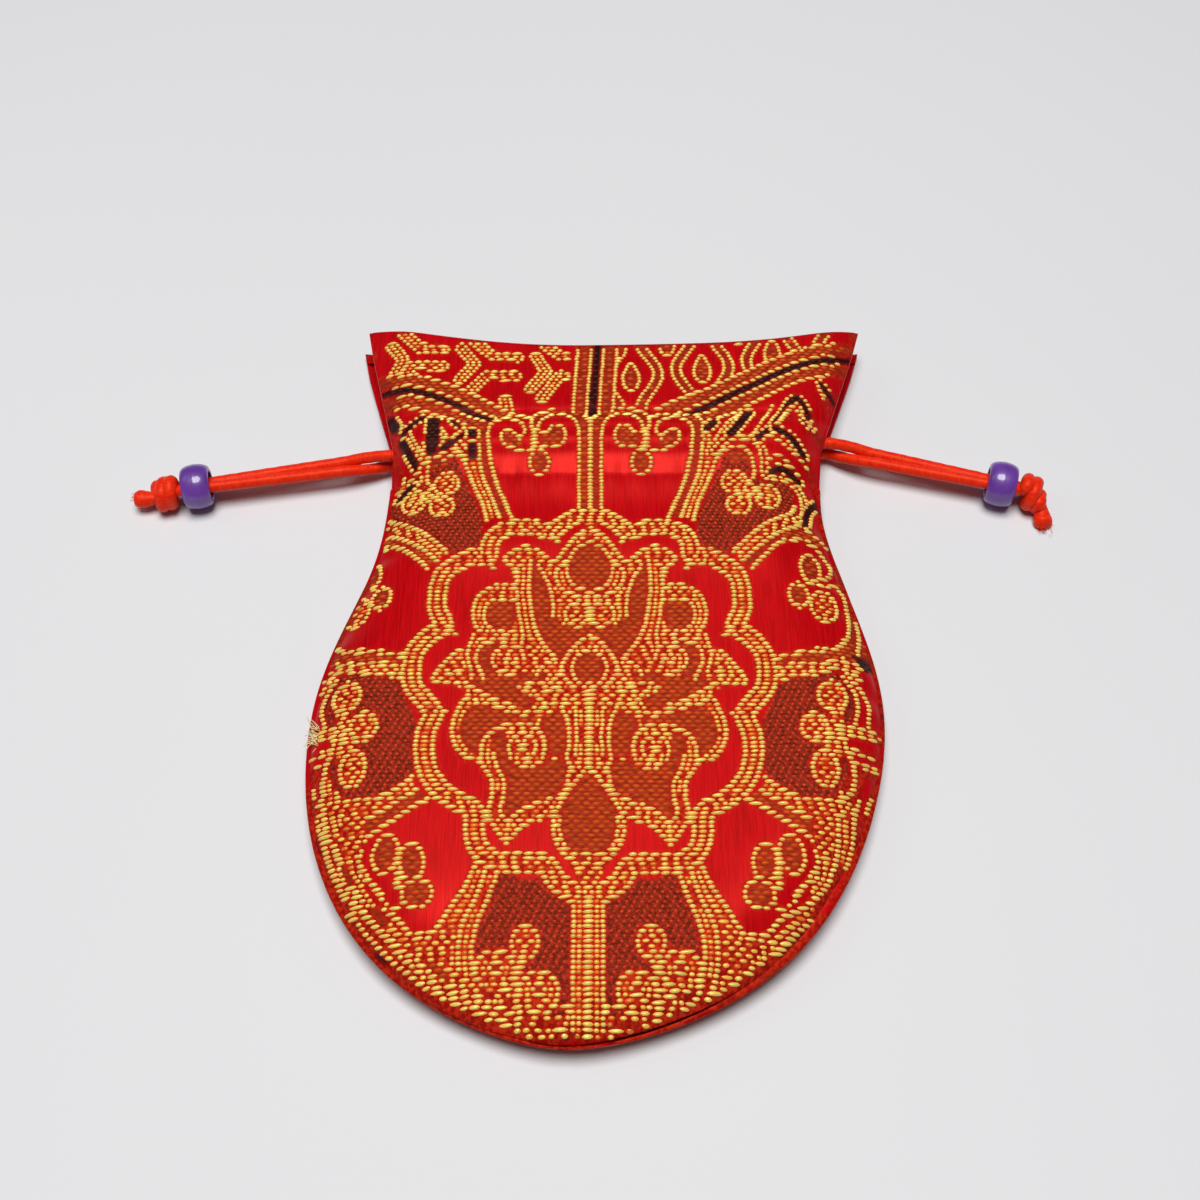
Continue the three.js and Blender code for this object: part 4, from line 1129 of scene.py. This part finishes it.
def lay_weft():
    """Every float as (p, y, length, width, height, tilt, red, green, blue), row by row like the real weft."""
    gold, ground = [], []
    for row, i in enumerate(range(0, len(cloth.y), CELLS_PER_ROW)):
        y = cloth.y[i]
        for kind, tint, height in ((GOLD, GOLD_TINT, 0.42), (AMBER, AMBER_TINT, 0.30)):
            for a, b in zip(*runs(cloth.line[i], kind)):
                low, high = cloth.p[a], cloth.p[b - 1] + CELL_P
                long = high - low
                if long < 0.5:
                    continue
                if kind == GOLD:
                    count = max(1, int(round(long / GOLD_FLOAT)))
                    edges = np.linspace(low, high, count + 1)
                    edges[1:-1] += (0.22 if row % 2 else -0.22) * long / count
                    spans = [(s, e - FLOAT_GAP) for s, e in zip(edges[:-1], edges[1:])]
                elif long < 2.4:
                    spans = [(low + 0.1, high - 0.2)]
                else:
                    first = low + (0.95 if row % 2 else 0.1) - AMBER_PITCH * (low % AMBER_PITCH > 1.2)
                    spans = [(max(low, s), min(high, s + AMBER_FLOAT)) for s in np.arange(first, high, AMBER_PITCH)]
                for start, end in spans:
                    if end - start < 0.45:
                        continue
                    shade = rng.normal(1, 0.08)
                    warm = rng.uniform(0.88, 1.06)
                    here = ORANGE_TINT if kind == AMBER and rng.random() < 0.25 else tint
                    place = ((start + end) / 2 + rng.normal(0, 0.04), y + rng.normal(0, 0.03))
                    size = (max(0.95, end - start) * rng.uniform(0.97, 1.07), FLOAT_WIDTH * rng.uniform(0.9, 1.1))
                    lie = (height * rng.uniform(0.9, 1.12), rng.normal(0.06, 0.05))
                    gold.append((*place, *size, *lie, here[0] * shade, here[1] * shade * warm, here[2] * shade * warm))
        for kind, pitch, step, tints, size in (
            (REP, 1.7, 0.85, (BROWN_TINT, BROWN_TINT), (1.5, 0.62, 0.30)),
            (BASKET, 1.26, 0.42, (BASKET_TINT, RED_TINT), (0.80, 0.56, 0.26)),
            (BLACK, 1.5, 0.75, (BLACK_TINT, BLACK_TINT), (1.4, 0.66, 0.20)),
        ):
            here = np.arange(-59 + (row * step) % pitch, 59, pitch / 2 if kind == BASKET else pitch)
            column = np.clip(np.round((here - cloth.p[0]) / CELL_P).astype(int), 3, len(cloth.p) - 4)
            free = (cloth.ground[i, column] == kind) & (cloth.line[i, column] == 0)
            free &= (cloth.line[i, column - 3] == 0) & (cloth.line[i, column + 3] == 0)
            for n in np.flatnonzero(free):
                shade = rng.normal(1, 0.1)
                place = (here[n] + rng.normal(0, 0.03), y + rng.normal(0, 0.03))
                long = size[0] * rng.uniform(0.93, 1.05)
                lie = (size[2] * rng.uniform(0.85, 1.15), rng.normal(0.04, 0.04))
                ground.append((*place, long, size[1], *lie, *(c * shade for c in tints[n % 2])))
    return np.array(gold), np.array(ground)


def float_template(stations, lanes):
    """A thread that dips into the cloth at both ends: shares of its length, width and height."""
    t = np.linspace(-1, 1, stations)
    w = np.linspace(-1, 1, lanes)
    wide = (1 - np.abs(t) ** 3.2 * 0.72)[:, None]
    high = ((1 - np.abs(t) ** 2.6)[:, None]) * np.sqrt(np.maximum(0, 1 - np.abs(w) ** 2))[None]
    return t[:, None] * np.ones(lanes), w[None] * wide, high


def weft_object(name, floats, surface, dip, down, finish, stations, lanes, painted_end_shade):
    """The floats that lie on one panel, each bent to its surface, with painted shade towards each float's ends."""
    x = PATTERN_AXIS + BACK_SHIFT - floats[:, 0] if down else floats[:, 0] + PATTERN_AXIS
    y = floats[:, 1] - pulled(floats[:, 1])
    s = y + LENGTH / 2
    across = x - centre_line(s)
    share = np.clip(across / np.maximum(1, half_width(s)), -1, 1)
    reach = np.where(s > SEAM_END, 1.6, 0.15) + floats[:, 2] * 0.35
    inside = (s > 0.6) & (np.abs(across) < half_width(s) - reach) & (edge_distance(across, s) > 0.3)
    inside &= y < mouth_edge(share, dip) - 0.5
    f, x, y = floats[inside], x[inside], y[inside]
    t, w, h = float_template(stations, lanes)
    turn = f[:, 5] * (-1 if down else 1)
    dx = t[None] * f[:, 2, None, None] / 2
    dy = w[None] * f[:, 3, None, None] / 2
    px = x[:, None, None] + dx * np.cos(turn)[:, None, None] - dy * np.sin(turn)[:, None, None]
    py = y[:, None, None] + dx * np.sin(turn)[:, None, None] + dy * np.cos(turn)[:, None, None]
    facing = -1.0 if down else 1.0
    eps = 0.4
    gx = (surface(x + eps, y) - surface(x - eps, y)) / (2 * eps)
    gy = (surface(x, y + eps) - surface(x, y - eps)) / (2 * eps)
    size = np.sqrt(1 + gx * gx + gy * gy)
    lift = h[None] * f[:, 4, None, None] - 0.05
    points = np.stack([
        px - (gx / size)[:, None, None] * lift * facing,
        py - (gy / size)[:, None, None] * lift * facing,
        surface(px, py) + (1 / size)[:, None, None] * lift * facing,
    ], -1)
    points[..., 2] = np.maximum(points[..., 2], 0.005)
    count, each = len(f), stations * lanes
    quads = (grid_quads(stations, lanes)[None] + (np.arange(count) * each)[:, None, None]).reshape(-1, 4)
    if not down:
        quads = quads[:, ::-1]
    made = mesh_object(name, points.reshape(-1, 3), quads, finish)
    # Each float is painted darker towards its ends: painted shade where it dips into the cloth.
    ends = 1 - (np.abs(t) ** 2.2)[None, ..., None] * np.array(painted_end_shade)
    set_colours(made, "tint", np.clip(f[:, None, None, 6:9] * ends, 0, 1).reshape(-1, 3))
    return made


gold_floats, ground_floats = lay_weft()
for side_name, surface, dip, down, wider, peep in (
    ("front", front_surface, FRONT_MOUTH_DIP, False, 0.0, 0.0),
    ("back", back_surface, BACK_MOUTH_DIP, True, 1.0, 1.0),
):
    made = panel(f"{side_name}_panel", surface, dip, down, wider, peep)
    # The last tuple in each call is the painted shade at the floats' ends, for red, green and blue.
    threads_on = [
        weft_object(f"{side_name}_gold_weft", gold_floats, surface, dip, down, gold_finish, 5, 5, (0.06, 0.45, 0.6)),
        weft_object(
            f"{side_name}_ground_weft", ground_floats, surface, dip, down, ground_finish, 4, 4, (0.3, 0.4, 0.4)
        ),
    ]
    for piece in threads_on:
        piece.parent = made
        piece.matrix_parent_inverse.identity()


# ---- linings
LINING_INSET, CHANNEL_INSET = 2.0, 7.0  # how far inside the outline they end


def lining(name, down, dip):
    """The satin lining, close inside its panel and further from it where the channel holds the cords."""
    t = np.linspace(-1, 1, 90)
    share1 = 0.8 * t + 0.2 * np.sin(np.pi * t / 2)
    low = LINING_INSET + (BELLY_STATION - LINING_INSET) * (1 - np.cos(np.linspace(0.03, np.pi / 2, 40)))
    s1 = np.concatenate([low, np.linspace(BELLY_STATION, LENGTH - 1.2, 76)[1:]])
    s, share = np.meshgrid(s1, share1, indexing="ij")
    inset = mix(LINING_INSET, CHANNEL_INSET, channel_share(s)) - (1.9 if down else 0.8) * smooth(CHANNEL_END, 138, s)
    rise = np.clip((BELLY_STATION - s) / (BELLY_STATION - LINING_INSET), 0, 1)
    round_part = (BELLY_HALF_WIDTH - LINING_INSET) * np.sqrt(np.maximum(0, 1 - rise**2))
    width = np.where(s < BELLY_STATION, round_part, half_width(s) - inset)
    across = share * width
    sag = dip * (1 - np.abs(share) ** SAG_POWER) * smooth(DIP_STATION, LENGTH, s)
    x, y = across + centre_line(s), s - sag - LENGTH / 2
    crease = 0.12 * np.sin(x * 0.9 + 2 * np.sin(y * 0.13)) * smooth(0, 6, edge_distance(across, s))
    depth = PANEL + GAP + LINING + CHANNEL_LIFT * channel_share(s)
    z = (back_height(across, s) + depth if down else front_height(across, s) - depth) + crease
    quads = grid_quads(*x.shape) if down else grid_quads(*x.shape)[:, ::-1]
    made = mesh_object(f"{name}_satin", np.stack([x, y, z], -1).reshape(-1, 3), quads, lining_finish)
    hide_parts(name)
    return made


lining("front_lining", False, FRONT_MOUTH_DIP)
lining("back_lining", True, BACK_MOUTH_DIP)


# ---- stitches and frayed tuft
def stitches():
    rows, pitch = [], 2.3
    for s in (LOWER_STITCH, UPPER_STITCH):
        reach = float(half_width(s)) - 3.5
        y = s - LENGTH / 2
        y = y + float(pulled(y + 1))
        for across in np.arange(-reach, reach, pitch):
            p = across + float(centre_line(s)) - PATTERN_AXIS
            place, tilt = (p, y + rng.normal(0, 0.05)), rng.normal(0.03, 0.03)
            rows.append((*place, pitch * 0.8, 0.32, 0.16, tilt, 0.52, 0.01, 0.012))
    # The last entry is the painted shade at each stitch's ends.
    look = (thread_finish, 7, 5, (0.2, 0.2, 0.2))
    made = weft_object("channel_stitches", np.array(rows), front_surface, FRONT_MOUTH_DIP, False, *look)


stitches()


def gold_tuft():
    """Cut metallic ends that have worked out of the left seam."""
    paths = []
    for _ in range(80):
        y = rng.uniform(-22.5, -18.5)
        s = y + LENGTH / 2
        x = float(centre_line(s) - half_width(s)) + 0.7
        start = np.array([x + rng.uniform(0, 3.4), y, float(front_surface(x + 0.6, y)) + 0.1])
        way = np.array([-rng.uniform(0.4, 1.0), rng.normal(0, 0.5), rng.uniform(0.0, 0.9)])
        reach = rng.uniform(0.9, 2.7)
        paths.append([start + way * reach * t + np.array([0, 0, -1.3 * t * t]) for t in (0, 0.3, 0.6, 1)])
    made = threads("gold_tuft", paths, 0.075, gold_finish)
    set_colours(made, "tint", np.tile([1.0, 0.9, 0.5], (len(made.data.vertices), 1)))


gold_tuft()


# ---- floor and light
def floor():
    made, tree, shader = material("floor_grey")
    cloud = ramp(tree, stretched(tree, (3, 3, 3)), 0.2, 0.8)
    colour = blend_colours(tree, cloud, (0.69, 0.69, 0.70), (0.72, 0.72, 0.73))
    plug(tree, shader, {"Base Color": colour, "Roughness": 0.7})
    size = 1500.0
    corners = [(-size, -size, 0), (size, -size, 0), (size, size, 0), (-size, size, 0)]
    mesh = bpy.data.meshes.new("floor")
    mesh.from_pydata([tuple(c * MM for c in p) for p in corners], [], [(0, 1, 2, 3)])
    mesh.materials.append(made)
    piece = bpy.data.objects.new("floor", mesh)
    scene.collection.objects.link(piece)


floor()


def area_light(name, place, size, power):
    """A round light that faces the pouch."""
    light = bpy.data.lights.new(name, "AREA")
    light.shape = "DISK"
    light.size = size
    light.energy = power
    made = bpy.data.objects.new(name, light)
    scene.collection.objects.link(made)
    made.location = place
    made.rotation_euler = (-Vector(place)).to_track_quat("-Z", "Y").to_euler()


area_light("key", (-0.03, 0.0, 1.16), 0.66, 14.2)
area_light("fill", (-0.9, 0.25, 0.9), 0.6, 0.8)
world = bpy.data.worlds.new("studio")
world.use_nodes = True
plug(world.node_tree, world.node_tree.nodes["Background"], {"Color": (0.95, 0.97, 1.0, 1), "Strength": 0.07})
scene.world = world
